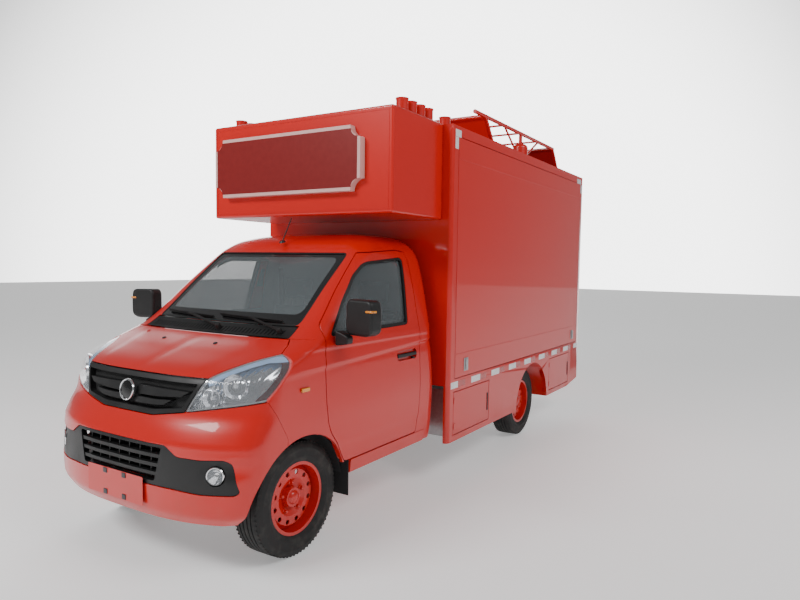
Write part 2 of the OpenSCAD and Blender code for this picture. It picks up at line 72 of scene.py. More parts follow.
# The studio: a pale sweep of floor under a soft white dome, with one large lamp over the nose and one along
# the driver's side for the long highlights in the paint.
class Value:
    """A socket of a material's node tree that takes part in Python arithmetic."""
    def __init__(self, tree, socket=None):
        self.tree = tree
        self.socket = socket

    def node(self, kind, settings=None, sockets=None, out=0):
        made = self.tree.nodes.new(kind)
        for key, setting in (settings or {}).items():
            setattr(made, key, setting)
        for key, value in (sockets or {}).items():
            self.feed(made.inputs[key], value)
        return Value(self.tree, made.outputs[out])

    def feed(self, socket, value):
        if isinstance(value, Value):
            self.tree.links.new(value.socket, socket)
        else:
            socket.default_value = value

    def maths(self, operation, first, second):
        return self.node("ShaderNodeMath", {"operation": operation}, {0: first, 1: second})

    def __add__(self, other):
        return self.maths("ADD", self, other)

    __radd__ = __add__

    def __sub__(self, other):
        return self.maths("SUBTRACT", self, other)

    def __rsub__(self, other):
        return self.maths("SUBTRACT", other, self)

    def __mul__(self, other):
        return self.maths("MULTIPLY", self, other)

    __rmul__ = __mul__

    def __gt__(self, other):
        return self.maths("GREATER_THAN", self, other)

    def __lt__(self, other):
        return self.maths("LESS_THAN", self, other)

    def __mod__(self, other):
        return self.maths("FLOORED_MODULO", self, other)


def grain(place, scale, detail=3.0):
    return place.node("ShaderNodeTexNoise", {}, {"Vector": place, "Scale": scale, "Detail": detail})


def blend_colours(share, first, second):
    first, second = ((*tone, 1) if isinstance(tone, tuple) else tone for tone in (first, second))
    return share.node("ShaderNodeMix", {"data_type": "RGBA"}, {0: share, 6: first, 7: second}, out=2)


def eased(value, low, high):
    return value.node("ShaderNodeMapRange", {"interpolation_type": "SMOOTHSTEP"},
        {"Value": value, "From Min": low, "From Max": high})


def bumps(height, strength, distance):
    return height.node("ShaderNodeBump", {}, {"Height": height, "Strength": strength, "Distance": distance})


def speckled(scale, detail, dark, light, rough, spread, bump=None, alpha=None, **steady):
    """A look of two shades mixed by one grain, which also moves the roughness, the bump and the clearness."""
    def look(place):
        speckle = grain(place, scale, detail)
        made = {"Base Color": blend_colours(speckle, dark, light)}
        made["Roughness"] = rough + spread * speckle if spread else rough
        made.update({socket.replace("_", " "): value for socket, value in steady.items()})
        if bump:
            made["Normal"] = bumps(speckle, *bump)
        if alpha:
            made["Alpha"] = alpha[0] + alpha[1] * speckle
        return made
    return look


usual_slots = {}


def material(name, look, slot=None):
    made = bpy.data.materials.new(name)
    usual_slots[made.name] = slot
    made.use_nodes = True
    shader = made.node_tree.nodes["Principled BSDF"]
    place = Value(made.node_tree).node("ShaderNodeTexCoord", out="Object")
    for socket, value in look(place).items():
        place.feed(shader.inputs[socket], value)
    return made


def place_piece(name, shape, finish, body="truck", slot=None, smooth=35, stands_for=(), bench=True):
    """Makes a finished piece. Its sizes are bench ones unless bench is false; the slot it works out, from its finish
    when none is given, is not used.
    """
    finishes = finish if isinstance(finish, list) else [finish]
    if bench:
        shape.transform(to_frame)
    mesh = bpy.data.meshes.new(name)
    shape.to_mesh(mesh)
    shape.free()
    piece = bpy.data.objects.new(name, mesh)
    bpy.context.collection.objects.link(piece)
    for each in finishes:
        mesh.materials.append(each)
    mesh.shade_smooth()
    mesh.set_sharp_from_angle(angle=math.radians(smooth))
    flatter = piece.modifiers.new("flatter", "WEIGHTED_NORMAL")
    flatter.keep_sharp = True
    shaded = bpy.data.meshes.new_from_object(piece.evaluated_get(bpy.context.evaluated_depsgraph_get()))
    piece.modifiers.clear()
    piece.data = shaded
    bpy.data.meshes.remove(mesh)
    shaded.name = name
    if body:
        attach(piece, body)
    slot = slot or usual_slots[finishes[0].name]
    if stands_for:
        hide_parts(*stands_for)
    return piece


floor_look = speckled(1.2, 3, (0.90, 0.90, 0.90), (0.95, 0.95, 0.95), 0.75, 0.1, Emission_Color=(1, 1, 1, 1),
    Emission_Strength=0.3)
floor = bmesh.new()
bmesh.ops.create_grid(floor, x_segments=8, y_segments=8, size=40)
place_piece("studio_floor", floor, material("studio_floor", floor_look), body=None, bench=False)

dome = bpy.data.worlds.new("studio")
dome.use_nodes = True
towards = Value(dome.node_tree).node("ShaderNodeTexCoord")
backdrop = towards.node("ShaderNodeVectorMath", {"operation": "DOT_PRODUCT"}, {0: towards, 1: tuple(ahead)},
    out=1)
glow = 0.20 + 4.6 * eased(backdrop, 0.70, 0.92)
dome.node_tree.nodes["Background"].inputs["Color"].default_value = (1, 1, 1, 1)
glow.feed(dome.node_tree.nodes["Background"].inputs["Strength"], glow)
bpy.context.scene.world = dome
for lamp_name, spot, aim, width, power in (
        ("nose_lamp", (-2.0, -7.0, 6.0), (0, -1.5, 1.0), 4.0, 420),
        ("side_lamp", (7.0, -1.0, 6.5), (0, 0.5, 1.2), 5.0, 260)):
    lamp_data = bpy.data.lights.new(lamp_name, "AREA")
    lamp_data.shape = "RECTANGLE"
    lamp_data.size = width
    lamp_data.size_y = width * 0.5
    lamp_data.energy = power
    studio_lamp = bpy.data.objects.new(lamp_name, lamp_data)
    studio_lamp.location = spot
    studio_lamp.rotation_euler = (Vector(aim) - Vector(spot)).to_track_quat("-Z", "Y").to_euler()
    bpy.context.collection.objects.link(studio_lamp)


# The chassis: two pressed rails with crossmembers, axles, springs and shafts hang under the floor. Everything is
# steel in black chassis paint, with patches of road dust. All sizes from here on are in millimetres, and
# lengths along the truck count from the front axle.
wheel_low, wheel_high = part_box("rim_front_left")
axle_y = (wheel_low.y + wheel_high.y) / 2
to_frame = Matrix.Translation((0, axle_y, 0)) @ Matrix.Scale(0.001, 4)
to_bench = to_frame.inverted()


def bench_box(node):
    return [to_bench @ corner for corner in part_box(node)]


def cad(*nodes):
    shape = bmesh.new()
    for name in nodes:
        shape.from_mesh(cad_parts[name].data)
    shape.transform(to_bench)
    bmesh.ops.remove_doubles(shape, verts=shape.verts, dist=0.02)
    bmesh.ops.dissolve_limit(shape, angle_limit=math.radians(0.5), verts=shape.verts, edges=shape.edges)
    return shape


def soften(shape, width, segments=2, angle=30, chosen=None):
    edges = [e for e in shape.edges if len(e.link_faces) == 2 and e.calc_face_angle(0) > math.radians(angle)
        and (chosen is None or chosen(e))]
    bmesh.ops.bevel(shape, geom=edges, offset=width, offset_type="OFFSET", affect="EDGES", segments=segments,
        profile=0.5, material=-1, clamp_overlap=True)
    return shape


def chassis_look(place):
    dust = grain(place, 14, 6)
    film = eased(dust, 0.45, 0.75)
    return {"Base Color": blend_colours(film, (0.012, 0.012, 0.013), (0.07, 0.06, 0.05)),
        "Roughness": 0.38 + 0.35 * film,
        "Normal": bumps(grain(place, 260, 2), 0.15, 0.0006)}


chassis_paint = material("chassis_paint", chassis_look, "chassis")
for name, radius in (("frame_rails", 6), ("crossmembers", 3), ("leaf_springs", 2), ("front_suspension", 3),
        ("rear_axle", 3), ("driveshaft", 2), ("fuel_tank", 4), ("rear_bumper", 8)):
    place_piece(name + "_body", soften(cad(name), radius), chassis_paint, stands_for=[name])


# The engine and gearbox are one cast block under the cab, and each front knuckle is a forging. Both are bare
# iron, rough from the mould.
casting = material("casting", speckled(40, 8, (0.10, 0.10, 0.105), (0.22, 0.215, 0.21), 0.5, 0.3, (0.4, 0.002),
    Metallic=0.6), "engine")
for name in ("engine_block", "knuckle_left", "knuckle_right"):
    place_piece(name + "_body", soften(cad(name), 3), casting, body="truck" if name == "engine_block" else name,
        stands_for=[name])


# The exhaust runs back from the gearbox on the driver's side of the driveshaft: a plain steel pipe with a drum
# silencer in the middle, browned by heat.
exhaust_steel = material("exhaust_steel", speckled(30, 6, (0.30, 0.26, 0.22), (0.16, 0.09, 0.05), 0.4, 0.3,
    Metallic=0.8), "steel")
place_piece("exhaust_pipe", soften(cad("exhaust"), 4), exhaust_steel, stands_for=["exhaust"])


# The wheel liners and mudflaps are black moulded plastic at the front, bolted up inside each arch. The rear arches
# are lined in red fibreglass.
liner_plastic = material("liner_plastic", speckled(120, 3, (0.012, 0.012, 0.013), (0.03, 0.03, 0.032), 0.6, 0.15,
    (0.3, 0.0008)), "black_plastic")


# The paint is a warm tomato red under clear lacquer, sprayed on cab and box alike. It has a faint orange peel and a
# little road dust low down. The rear arches are painted with it.
def red_look(deep, bright):
    def look(place):
        drift = grain(place, 0.9, 2)
        height = place.node("ShaderNodeSeparateXYZ", {}, {"Vector": place}, out=2)
        film = eased(height, 0.6, 0.15) * eased(grain(place, 9, 6), 0.35, 0.8)
        shade = blend_colours(drift, deep, bright)
        return {"Base Color": blend_colours(0.22 * film, shade, (0.30, 0.20, 0.15)),
            "Roughness": 0.30 + 0.25 * film + 0.06 * drift,
            "Coat Weight": 0.55 - 0.3 * film,
            "Coat Roughness": 0.04,
            "Normal": bumps(grain(place, 55, 2), 0.012, 0.004)}
    return look


red_paint = material("red_paint", red_look((0.62, 0.005, 0.001), (0.68, 0.008, 0.002)), "paint")
between_axles = 1500
for name, finish, drop, nodes in (("rear_arch_liners", red_paint, lambda y: y < between_axles, []),
        ("front_wheel_liners", liner_plastic, lambda y: y > between_axles, ["wheel_liners"])):
    shape = cad("wheel_liners")
    bmesh.ops.delete(shape, geom=[v for v in shape.verts if drop(v.co.y)], context="VERTS")
    place_piece(name, shape, finish, stands_for=nodes)


# The cab is pressed steel. Its skin is one smooth surface drawn through level outlines: each row gives a height,
# the half width, the nose, how far the front bows back 600 mm out, and the rear wall. Panels are cut from it.
cab_rows = np.array([
    (290, 690, -535, 90, 1262), (350, 742, -564, 85, 1262), (500, 762, -570, 87, 1262), (620, 768, -568, 92, 1262),
    (720, 770, -534, 95, 1262), (800, 769, -494, 94, 1262), (870, 767, -478, 93, 1262), (950, 762, -452, 89, 1262),
    (985, 757, -405, 86, 1262), (1058, 748, -210, 70, 1262), (1122, 738, -20, 45, 1262), (1165, 730, 55, 45, 1262),
    (1400, 683, 335, 45, 1262), (1560, 640, 530, 45, 1255), (1610, 612, 590, 48, 1250), (1668, 540, 690, 55, 1240),
    (1705, 430, 850, 40, 1200), (1722, 250, 1000, 10, 1150)], float)
along = np.concatenate(([0], np.cumsum(np.linalg.norm(np.diff(cab_rows[:, :3], axis=0), axis=1))))
slopes = np.diff(cab_rows, axis=0) / np.diff(along)[:, None]
tangents = np.zeros_like(cab_rows)
tangents[0], tangents[-1] = slopes[0], slopes[-1]
before, after = slopes[:-1], slopes[1:]
total = before + after
tangents[1:-1] = np.where(before * after > 0, 2 * before * after / (total + 1e-12 * (total == 0)), 0)


def cab_row(share):
    at = share * along[-1]
    i = min(int(np.searchsorted(along, at, side="right")) - 1, len(along) - 2)
    span = along[i + 1] - along[i]
    u = (at - along[i]) / span
    return ((1 + 2 * u) * (1 - u) ** 2 * cab_rows[i] + u * (1 - u) ** 2 * span * tangents[i]
        + u * u * (3 - 2 * u) * cab_rows[i + 1] + u * u * (u - 1) * span * tangents[i + 1])


def bezier(a, b, c, d, u):
    return (1 - u) ** 3 * a + 3 * (1 - u) ** 2 * u * b + 3 * (1 - u) * u * u * c + u ** 3 * d


def cab_outline(row, inset):
    height, width, nose, bow, rear = row
    width, nose, rear = width - inset, nose + inset, rear - inset
    corner_x, corner_y = min(100, 0.35 * width), 150 * min(1, width / 600)
    x0 = width - corner_x
    y0 = nose + bow * (x0 / 600) ** 3
    slope = 3 * bow * x0 ** 2 / 600 ** 3
    half = [(x0 * i / 22, nose + bow * (x0 * i / 22 / 600) ** 3) for i in range(23)]
    half += [(bezier(x0, x0 + corner_x / 2, width, width, i / 12),
        bezier(y0, y0 + corner_x / 2 * slope, y0 + 0.45 * corner_y, y0 + corner_y, i / 12)) for i in range(1, 13)]
    side = y0 + corner_y
    half += [(width, side + (rear - 40 - side) * i / 34) for i in range(1, 35)]
    half += [(width - 12, rear - 12), (width - 40, rear)]
    half += [((width - 40) * (1 - i / 8), rear) for i in range(1, 9)]
    return half + [(-x, y) for x, y in half[-2:0:-1]]


def ease(value, low, high):
    u = min(1, max(0, (value - low) / (high - low)))
    return u * u * (3 - 2 * u)


def pressing(x, y, z):
    """How far the pressed features stand out of the plain skin at a point: (sideways, forwards)."""
    reach = abs(x)
    crease = 979 + 0.0442 * (y - 96)
    below = crease - z
    side = ease(reach, 690, 730) * ease(y, -330, 60)
    door = -9 * side * ease(below, -1, 15) * (1 - ease(below, 60, 330))
    belt = 3.5 * side * ease(z - 1062, 0, 14) * (1 - ease(z - 1100, 0, 40))
    sill = -7 * side * ease(560 - z, 0, 60) * (1 - ease(y, 1150, 1200))
    front = 1 - ease(y, -420, -250)
    chin = -10 * front * ease(610 - z, 0, 14) * (1 - ease(560 - z, 0, 60)) * ease(reach, 540, 600)
    brow = 8 * front * ease(z, 640, 668) * (1 - ease(z, 690, 800)) * ease(reach, 60, 420)
    ridge = 395 + 0.30 * (y + 440)
    from_ridge = ease(abs(reach - 0.5 * ridge), 0.36 * ridge, 0.5 * ridge)
    bulge = 9 * ease(z, 968, 1010) * (1 - ease(z, 1085, 1120)) * (1 - from_ridge)
    return door + belt + sill, brow + chin + bulge


kept_bodies = {}


def cab_body(inset=0.0, past=0.0):
    """The cab as one closed body, inset from its skin; past lets it run out below and above the skin's ends."""
    if (inset, past) in kept_bodies:
        return kept_bodies[inset, past].copy()
    rows, columns = 132, len(cab_outline(cab_rows[0], 0))
    shape = bmesh.new()
    bmesh.ops.create_grid(shape, x_segments=columns, y_segments=rows, size=1)
    shape.verts.ensure_lookup_table()
    for r in range(rows + 1):
        row = cab_row(r / rows)
        outline = cab_outline(row, inset)
        sink = max(0.0, min(1.0, (row[0] - 1500) / 150))
        height = row[0] - inset * sink - (past if r == 0 else 0) + (past if r == rows and not inset else 0)
        for c in range(columns + 1):
            x, y = outline[c % columns]
            out, forward = pressing(x, y, row[0])
            shape.verts[r * (columns + 1) + c].co = (x + out * np.sign(x), y - forward, height)
    bmesh.ops.remove_doubles(shape, verts=shape.verts, dist=0.05)
    bmesh.ops.holes_fill(shape, edges=shape.edges, sides=0)
    bmesh.ops.recalc_face_normals(shape, faces=shape.faces)
    kept_bodies[inset, past] = shape.copy()
    return shape


def prism(outline, axis, low, high, grow=0.0):
    """A closed block: an outline on the plane across the axis, carried from low to high."""
    points = [Vector(p) for p in outline]
    area = sum(a.x * b.y - b.x * a.y for a, b in zip(points, points[1:] + points[:1]))
    if area < 0:
        points.reverse()
    if grow:
        moved = []
        for a, b, c in zip(points[-1:] + points[:-1], points, points[1:] + points[:1]):
            first = Vector((b.y - a.y, a.x - b.x)).normalized()
            second = Vector((c.y - b.y, b.x - c.x)).normalized()
            moved.append(b + (first + second) * grow / max(0.25, 1 + first.dot(second)))
        points = moved
    across = "xyz".index(axis)
    shape = bmesh.new()
    face = shape.faces.new([shape.verts.new((*p[:across], low, *p[across:])) for p in points])
    grown = bmesh.ops.extrude_face_region(shape, geom=[face])
    tops = [v for v in grown["geom"] if isinstance(v, bmesh.types.BMVert)]
    bmesh.ops.translate(shape, verts=tops, vec=Vector([high - low if i == across else 0 for i in range(3)]))
    bmesh.ops.recalc_face_normals(shape, faces=shape.faces)
    return shape


def block(low, high):
    return prism([(low[0], low[1]), (high[0], low[1]), (high[0], high[1]), (low[0], high[1])], "z", low[2], high[2])


def mirrored(half):
    return list(half) + [(-x, y) for x, y in reversed(half)]


def rounded(outline, radius, steps=5):
    """The outline with its corners rounded."""
    points = [Vector(p) for p in outline]
    smooth = []
    for a, b, c in zip(points[-1:] + points[:-1], points, points[1:] + points[:1]):
        r = min(radius, 0.45 * (a - b).length, 0.45 * (c - b).length)
        start, end = b + (a - b).normalized() * r, b + (c - b).normalized() * r
        for i in range(steps + 1):
            u = i / steps
            smooth.append(start * (1 - u) ** 2 + b * 2 * u * (1 - u) + end * u * u)
    return smooth


def combine(shape, tool, how="DIFFERENCE", keep_tool=False):
    """One closed shape cut, joined or crossed with another."""
    held = []
    for each in (shape, tool):
        mesh = bpy.data.meshes.new("bench")
        each.to_mesh(mesh)
        thing = bpy.data.objects.new("bench", mesh)
        bpy.context.collection.objects.link(thing)
        held.append(thing)
    cutter = held[0].modifiers.new("cut", "BOOLEAN")
    cutter.operation = how
    cutter.solver = "MANIFOLD"
    cutter.object = held[1]
    made = held[0].evaluated_get(bpy.context.evaluated_depsgraph_get()).to_mesh()
    result = bmesh.new()
    result.from_mesh(made)
    for thing in held:
        mesh = thing.data
        bpy.data.objects.remove(thing)
        bpy.data.meshes.remove(mesh)
    shape.free()
    if not keep_tool:
        tool.free()
    return result


def crossed(shape, tool):
    return combine(shape, tool, "INTERSECT")


def joined(shape, *others):
    for other in others:
        shape = combine(shape, other, "UNION")
    return shape


def cab_skin(outer, inner):
    return combine(cab_body(outer), cab_body(inner, past=5))


def panel(shape, edge=2.0, angle=40):
    """Tidies a cut panel and rounds its cut edges a little."""
    bmesh.ops.remove_doubles(shape, verts=shape.verts, dist=0.8)
    bmesh.ops.dissolve_degenerate(shape, edges=shape.edges, dist=0.5)
    if edge:
        soften(shape, edge, angle=angle)
    return shape


door_side = [(303, 430), (235, 540), (170, 620), (143, 680), (133, 805), (141, 1068), (165, 1180), (311, 1340),
    (454, 1478), (535, 1551), (610, 1585), (1000, 1612), (1100, 1600), (1110, 1400), (1095, 1071), (1052, 430)]
door_depth = [(1000, 400), (690, 400), (690, 1127), (640, 1330), (588, 1560), (560, 1660), (1000, 1660)]
gap = 5
flank, nose_depth, screen_depth = (400, 900), (-700, -300), (-100, 900)


def door_hole(extra=0.0):
    """The space of a door: its outline from the side, less the pillar, ending where its rear edge swings clear."""
    shape = crossed(prism(rounded(door_side, 24), "x", *flank, extra), prism(door_depth, "y", 0, 1300, extra))
    reach = 962 + extra
    swing = [math.radians(angle) for angle in np.arange(35, -10.1, -2.5)]
    sweep = [(972, -266), (172, -266)] + [(772 - reach * math.sin(a), 134 + reach * math.cos(a)) for a in swing]
    return crossed(shape, prism(sweep, "z", 0, 2000))


def mirror_image(shape):
    other = shape.copy()
    bmesh.ops.scale(other, vec=(-1, 1, 1), verts=other.verts)
    bmesh.ops.reverse_faces(other, faces=other.faces)
    return other


def both_sides(shape):
    return combine(shape, mirror_image(shape), "UNION")


screen_line = mirrored([(574, 1182), (541, 1588)])
screen = rounded(screen_line, 30)
cowl_opening = mirrored([(593, 1100), (579, 1184)])
shell = crossed(cab_skin(0, 45), prism([(-200, 1126), (-200, 1800), (1400, 1800), (1400, 352), (1165, 352),
    (1165, 424), (1045, 424), (1045, 1126)], "x", -900, 900))
shell = combine(shell, both_sides(door_hole(gap)))
shell = combine(shell, block((-355, 1000, 0), (355, 1400, 450)))
shell = combine(shell, prism(screen, "y", *screen_depth))
shell = combine(shell, prism(cowl_opening, "y", *screen_depth))
place_piece("cab_shell_body", panel(shell), red_paint, stands_for=["cab_shell"])


# The front wings are bolted between the bonnet, the lamps, the doors and the bumper, and are cut back in a round
# arch over each front wheel.
lamp_front = [(392, 806), (470, 962), (509, 994), (555, 1022), (596, 1046), (656, 1069), (820, 1069), (820, 880),
    (748, 867), (630, 845), (516, 827)]
lamp_side = [(-620, 760), (-620, 1100), (-93, 1100), (-93, 1066), (-104, 1038), (-137, 997), (-285, 867),
    (-330, 760)]
bonnet_plan = [(430, -700), (470, -390), (541, -263), (596, -170), (656, -95), (629, -21), (592, 34)]
seam_side = [(-700, 250), (-300, 250), (-167, 500), (-167, 666), (-276, 855), (-290, 875), (-700, 875)]


def bonnet_volume(extra=0.0):
    return prism(mirrored(bonnet_plan), "z", 966 - extra, 1166, extra)


def lamp_volume(extra=0.0):
    return crossed(prism(rounded(lamp_front, 12), "y", -700, 0, extra),
        prism(rounded(lamp_side, 12), "x", 300, 900, extra))


def ring(y, z, radius, steps=72):
    return [(y + radius * math.cos(math.tau * i / steps), z + radius * math.sin(math.tau * i / steps))
        for i in range(steps)]


arch = ring(-40, 300, 352)
wing = crossed(cab_skin(0, 18), block((300, -310, 426), (900, 303, 1126)))
for cutter in (bonnet_volume(gap), lamp_volume(gap), door_hole(gap), prism(seam_side, "x", 300, 900, 2),
        prism(arch, "x", 300, 900)):
    wing = combine(wing, cutter)
place_piece("wings", panel(both_sides(wing)), red_paint, stands_for=["fenders"])

# The bonnet is one pressed steel panel with a raised middle. It hinges under the wiper cowl, closes on the nose
# between the headlamps, and carries no badge or name.
bonnet = crossed(cab_skin(0, 22), block((-900, -700, 955), (900, 300, 1121.5)))
bonnet = crossed(bonnet, bonnet_volume())
place_piece("bonnet", panel(bonnet, 2.5), red_paint, body="hood", stands_for=["hood"])

# The bumper is a painted plastic moulding that wraps round the nose from wheel to wheel, with the lower intake
# and the lamp openings let into it.
grille_front = [(387, 806), (465, 960)]
intake_front = [(249, 458), (389, 456), (539, 445), (690, 448), (708, 463), (671, 590), (646, 609), (535, 604),
    (417, 609), (345, 655)]


def grille_volume(extra=0.0):
    return prism(mirrored(grille_front) + [(-195, 777), (195, 777)], "y", *nose_depth, extra)


def intake_volume(extra=0.0):
    return prism(rounded(mirrored(intake_front), 14), "y", *nose_depth, extra)


nose = crossed(cab_skin(0, 30), prism(seam_side, "x", -900, 900))
for cutter in (both_sides(lamp_volume(gap)), grille_volume(gap), intake_volume(3),
        both_sides(prism(arch, "x", 640, 900))):
    nose = combine(nose, cutter)
place_piece("bumper", panel(nose, 3), red_paint, slot="red_panel", stands_for=["front_bumper"])


# The grilles are black moulded plastic with a fine grained face. The upper one has two swept bars each side of a
# blank round badge over a mesh; the lower one has three slats and thin uprights between the fog lamps' pods.
def black_look(tone, rough):
    def look(place):
        mould = grain(place, 900, 2)
        wear = eased(grain(place, 8, 5), 0.4, 0.8)
        worn = tone * 1.7
        return {"Base Color": blend_colours(wear, (tone, tone, tone * 1.05), (worn, worn, worn)),
            "Roughness": rough + 0.12 * wear,
            "Normal": bumps(mould, 0.25, 0.0004)}
    return look


# A flat sheet carries the mesh: its strands are black plastic, and the holes between them are painted near black as
# shade.
def mesh_and_painted_shade_look(place):
    width, height = (place.node("ShaderNodeSeparateXYZ", {}, {"Vector": place}, out=axis) for axis in (0, 2))
    steep = (width * 70 + height * 90) % 1.0
    falling = (width * 70 - height * 90 + 50) % 1.0
    bars = (steep < 0.26) + (falling < 0.26) > 0.5
    return {"Base Color": blend_colours(bars, (0.003, 0.003, 0.003), (0.03, 0.03, 0.031)),
        "Roughness": 0.75 - 0.3 * bars,
        "Normal": bumps(bars, 0.8, 0.003)}


black_trim = material("black_trim", black_look(0.007, 0.44), "black_plastic")
black_gloss = material("black_gloss", black_look(0.008, 0.12), "black_plastic")
mesh_and_painted_shade = material("mesh_and_painted_shade", mesh_and_painted_shade_look, "black_plastic")

grille_shape = cab_skin(1, 34)
frame_hole = rounded(mirrored([(372, 822), (436, 938)]) + [(-190, 800), (190, 800)], 14)
frame_hole = prism(frame_hole, "y", *nose_depth)
grille_frame = combine(crossed(grille_shape.copy(), grille_volume()), frame_hole, keep_tool=True)
bars = both_sides(joined(*(prism(rounded(bar, 8), "y", *nose_depth) for bar in (
    [(40, 905), (200, 902), (395, 898), (350, 872), (200, 862), (40, 860)],
    [(40, 848), (180, 846), (300, 852), (250, 826), (180, 820), (40, 818)]))))
swept = crossed(grille_shape, crossed(bars, frame_hole))
place_piece("grille_frame", panel(grille_frame, 3), black_trim, stands_for=["grilles"])
place_piece("grille_bars", panel(swept, 5), black_trim)
# The mesh sheet behind the upper grille has its holes painted near black as the shade behind an open mesh.
backing = crossed(cab_skin(34, 38), grille_volume(-1))
place_piece("grille_mesh", panel(backing, 0), mesh_and_painted_shade)


def spun(profile, steps=64):
    """A shape turned about the X axis from a profile of (radius, place along X)."""
    shape = bmesh.new()
    verts = [shape.verts.new((x, 0, max(radius, 0.001))) for radius, x in profile]
    for a, b in zip(verts, verts[1:]):
        shape.edges.new((a, b))
    bmesh.ops.spin(shape, geom=shape.verts[:] + shape.edges[:], cent=(0, 0, 0), axis=(1, 0, 0), dvec=(0, 0, 0),
        angle=math.tau, steps=steps, use_merge=True, use_normal_flip=False, use_duplicate=False)
    bmesh.ops.remove_doubles(shape, verts=shape.verts, dist=0.01)
    bmesh.ops.recalc_face_normals(shape, faces=shape.faces)
    return shape


def turned(shape, place, facing):
    """Moves a turned shape so that its X axis points along facing from place."""
    spin = Vector((1, 0, 0)).rotation_difference(Vector(facing).normalized()).to_matrix().to_4x4()
    shape.transform(Matrix.Translation(place) @ spin)
    return shape


chrome = material("chrome", speckled(30, 4, (0.80, 0.81, 0.83), (0.90, 0.91, 0.92), 0.05, 0.08, Metallic=1.0),
    "steel")
badge_at, forward = (0, -496, 876), (0, -1, 0.12)
badge = turned(spun([(0, 0), (0, 9), (34, 8), (47, 5), (49, 0)]), badge_at, forward)
place_piece("badge_blank", badge, black_gloss)
badge_ring = turned(spun([(47, 0), (47, 8), (50, 11), (53, 10), (55, 5), (55, 0), (47, 0)]), badge_at, forward)
place_piece("badge_ring", badge_ring, chrome)

slats_hole = rounded([(-322, 640), (322, 640), (280, 478), (-280, 478)], 12)
pods = combine(crossed(cab_skin(4, 34), intake_volume(-0.5)), prism(slats_hole, "y", *nose_depth))
fog_places = [(side * 604, -470, 535) for side in (1, -1)]
fog_facing = [(side * math.sin(math.radians(28)), -math.cos(math.radians(28)), 0) for side in (1, -1)]
for place, facing in zip(fog_places, fog_facing):
    pods = combine(pods, turned(spun([(0, -80), (46, -80), (46, 0), (78, 60), (0, 60)]), place, facing))
place_piece("lower_grille", panel(pods, 3), black_trim)
slats = bmesh.new()
slat_skin = cab_skin(8, 50)
for height in (504, 546, 590):
    slat = crossed(slat_skin.copy(), prism([(-318, height), (318, height), (318, height + 17), (-318, height + 17)],
        "y", *nose_depth))
    slats = combine(slats, slat, "UNION") if len(slats.verts) else slat
for x in range(-240, 241, 80):
    slats = combine(slats, crossed(cab_skin(22, 50), block((x - 3, -700, 490), (x + 3, -300, 632))), "UNION")
place_piece("lower_slats", panel(slats, 2), black_trim)
# A flat mesh sheet behind the slats, its holes painted near black as the shade inside the intake.
backing = crossed(cab_skin(60, 64), prism([(-340, 655), (340, 655), (300, 465), (-300, 465)], "y", *nose_depth))
place_piece("lower_mesh", panel(backing, 0), mesh_and_painted_shade)


# The lamps are chromed reflectors behind clear covers. Each headlamp has two bowls with a glass bulb, a bright
# lower rim and a pale blue strip along its top; each fog lamp is one small bowl.
def reflector_look(place):
    facets = place.node("ShaderNodeTexVoronoi", {}, {"Vector": place, "Scale": 22.0})
    return {"Base Color": blend_colours(grain(place, 12), (0.72, 0.74, 0.78), (0.95, 0.96, 0.98)),
        "Metallic": 0.9,
        "Roughness": 0.16,
        "Normal": bumps(facets, 0.5, 0.006)}


def dark_reflector_look(place):
    flutes = place.node("ShaderNodeTexWave", {"bands_direction": "X"}, {"Vector": place, "Scale": 14.0})
    return {"Base Color": blend_colours(grain(place, 12), (0.42, 0.44, 0.47), (0.78, 0.80, 0.84)),
        "Metallic": 1.0,
        "Roughness": 0.16,
        "Normal": bumps(flutes, 0.5, 0.004)}


clear_cover = material("clear_cover", speckled(6, 4, (0.85, 0.9, 0.95), (0.765, 0.81, 0.855), 0.02, 0.03,
    alpha=(0.05, 0.03), Coat_Weight=1.0), "lamp")
reflector = material("reflector", reflector_look, "lamp")
dark_reflector = material("dark_reflector", dark_reflector_look, "lamp")
blue_strip = material("blue_strip", lambda place: {
    "Base Color": blend_colours(grain(place, 10), (0.20, 0.36, 0.62), (0.40, 0.56, 0.80)), "Roughness": 0.15,
    "Coat Weight": 1.0}, "lamp")
bulb_glass = material("bulb_glass", speckled(6, 4, (0.9, 0.92, 0.95), (0.81, 0.828, 0.855), 0.02, 0.03,
    alpha=(0.45, 0.03), Coat_Weight=1.0), "lamp")
cover = combine(crossed(cab_skin(0.5, 5), lamp_volume()), bonnet_volume(gap))
place_piece("headlamp_covers", panel(both_sides(cover), 0), clear_cover, stands_for=["front_lamps"])
inner_line = rounded([(402, 812), (474, 952), (513, 984), (558, 1011), (599, 1034), (652, 1056), (800, 1060),
    (800, 890), (745, 876), (628, 854), (516, 837)], 10)
lamp_wall = combine(crossed(cab_skin(6, 60), lamp_volume(-0.5)), prism(inner_line, "y", -700, 0))
lamp_wall = combine(lamp_wall, bonnet_volume(gap))
place_piece("headlamp_rims", panel(both_sides(lamp_wall), 0), chrome, slot="lamp")
back = combine(crossed(cab_skin(52, 58), lamp_volume(-1)), bonnet_volume(gap))
place_piece("headlamp_backs", panel(both_sides(back), 0), dark_reflector)
strip_line = [(474, 952), (513, 984), (558, 1011), (599, 1034), (652, 1056), (800, 1060), (800, 1036), (660, 1030),
    (608, 1010), (566, 986), (520, 958), (488, 930)]
strip = crossed(cab_skin(10, 46), crossed(lamp_volume(-3), prism(strip_line, "y", -700, 0)))
strip = combine(strip, bonnet_volume(gap))
place_piece("headlamp_strips", panel(both_sides(strip), 2), blue_strip)


def add_to(group, shape):
    mesh = bpy.data.meshes.new("bench")
    shape.to_mesh(mesh)
    shape.free()
    group.from_mesh(mesh)
    bpy.data.meshes.remove(mesh)
    return group


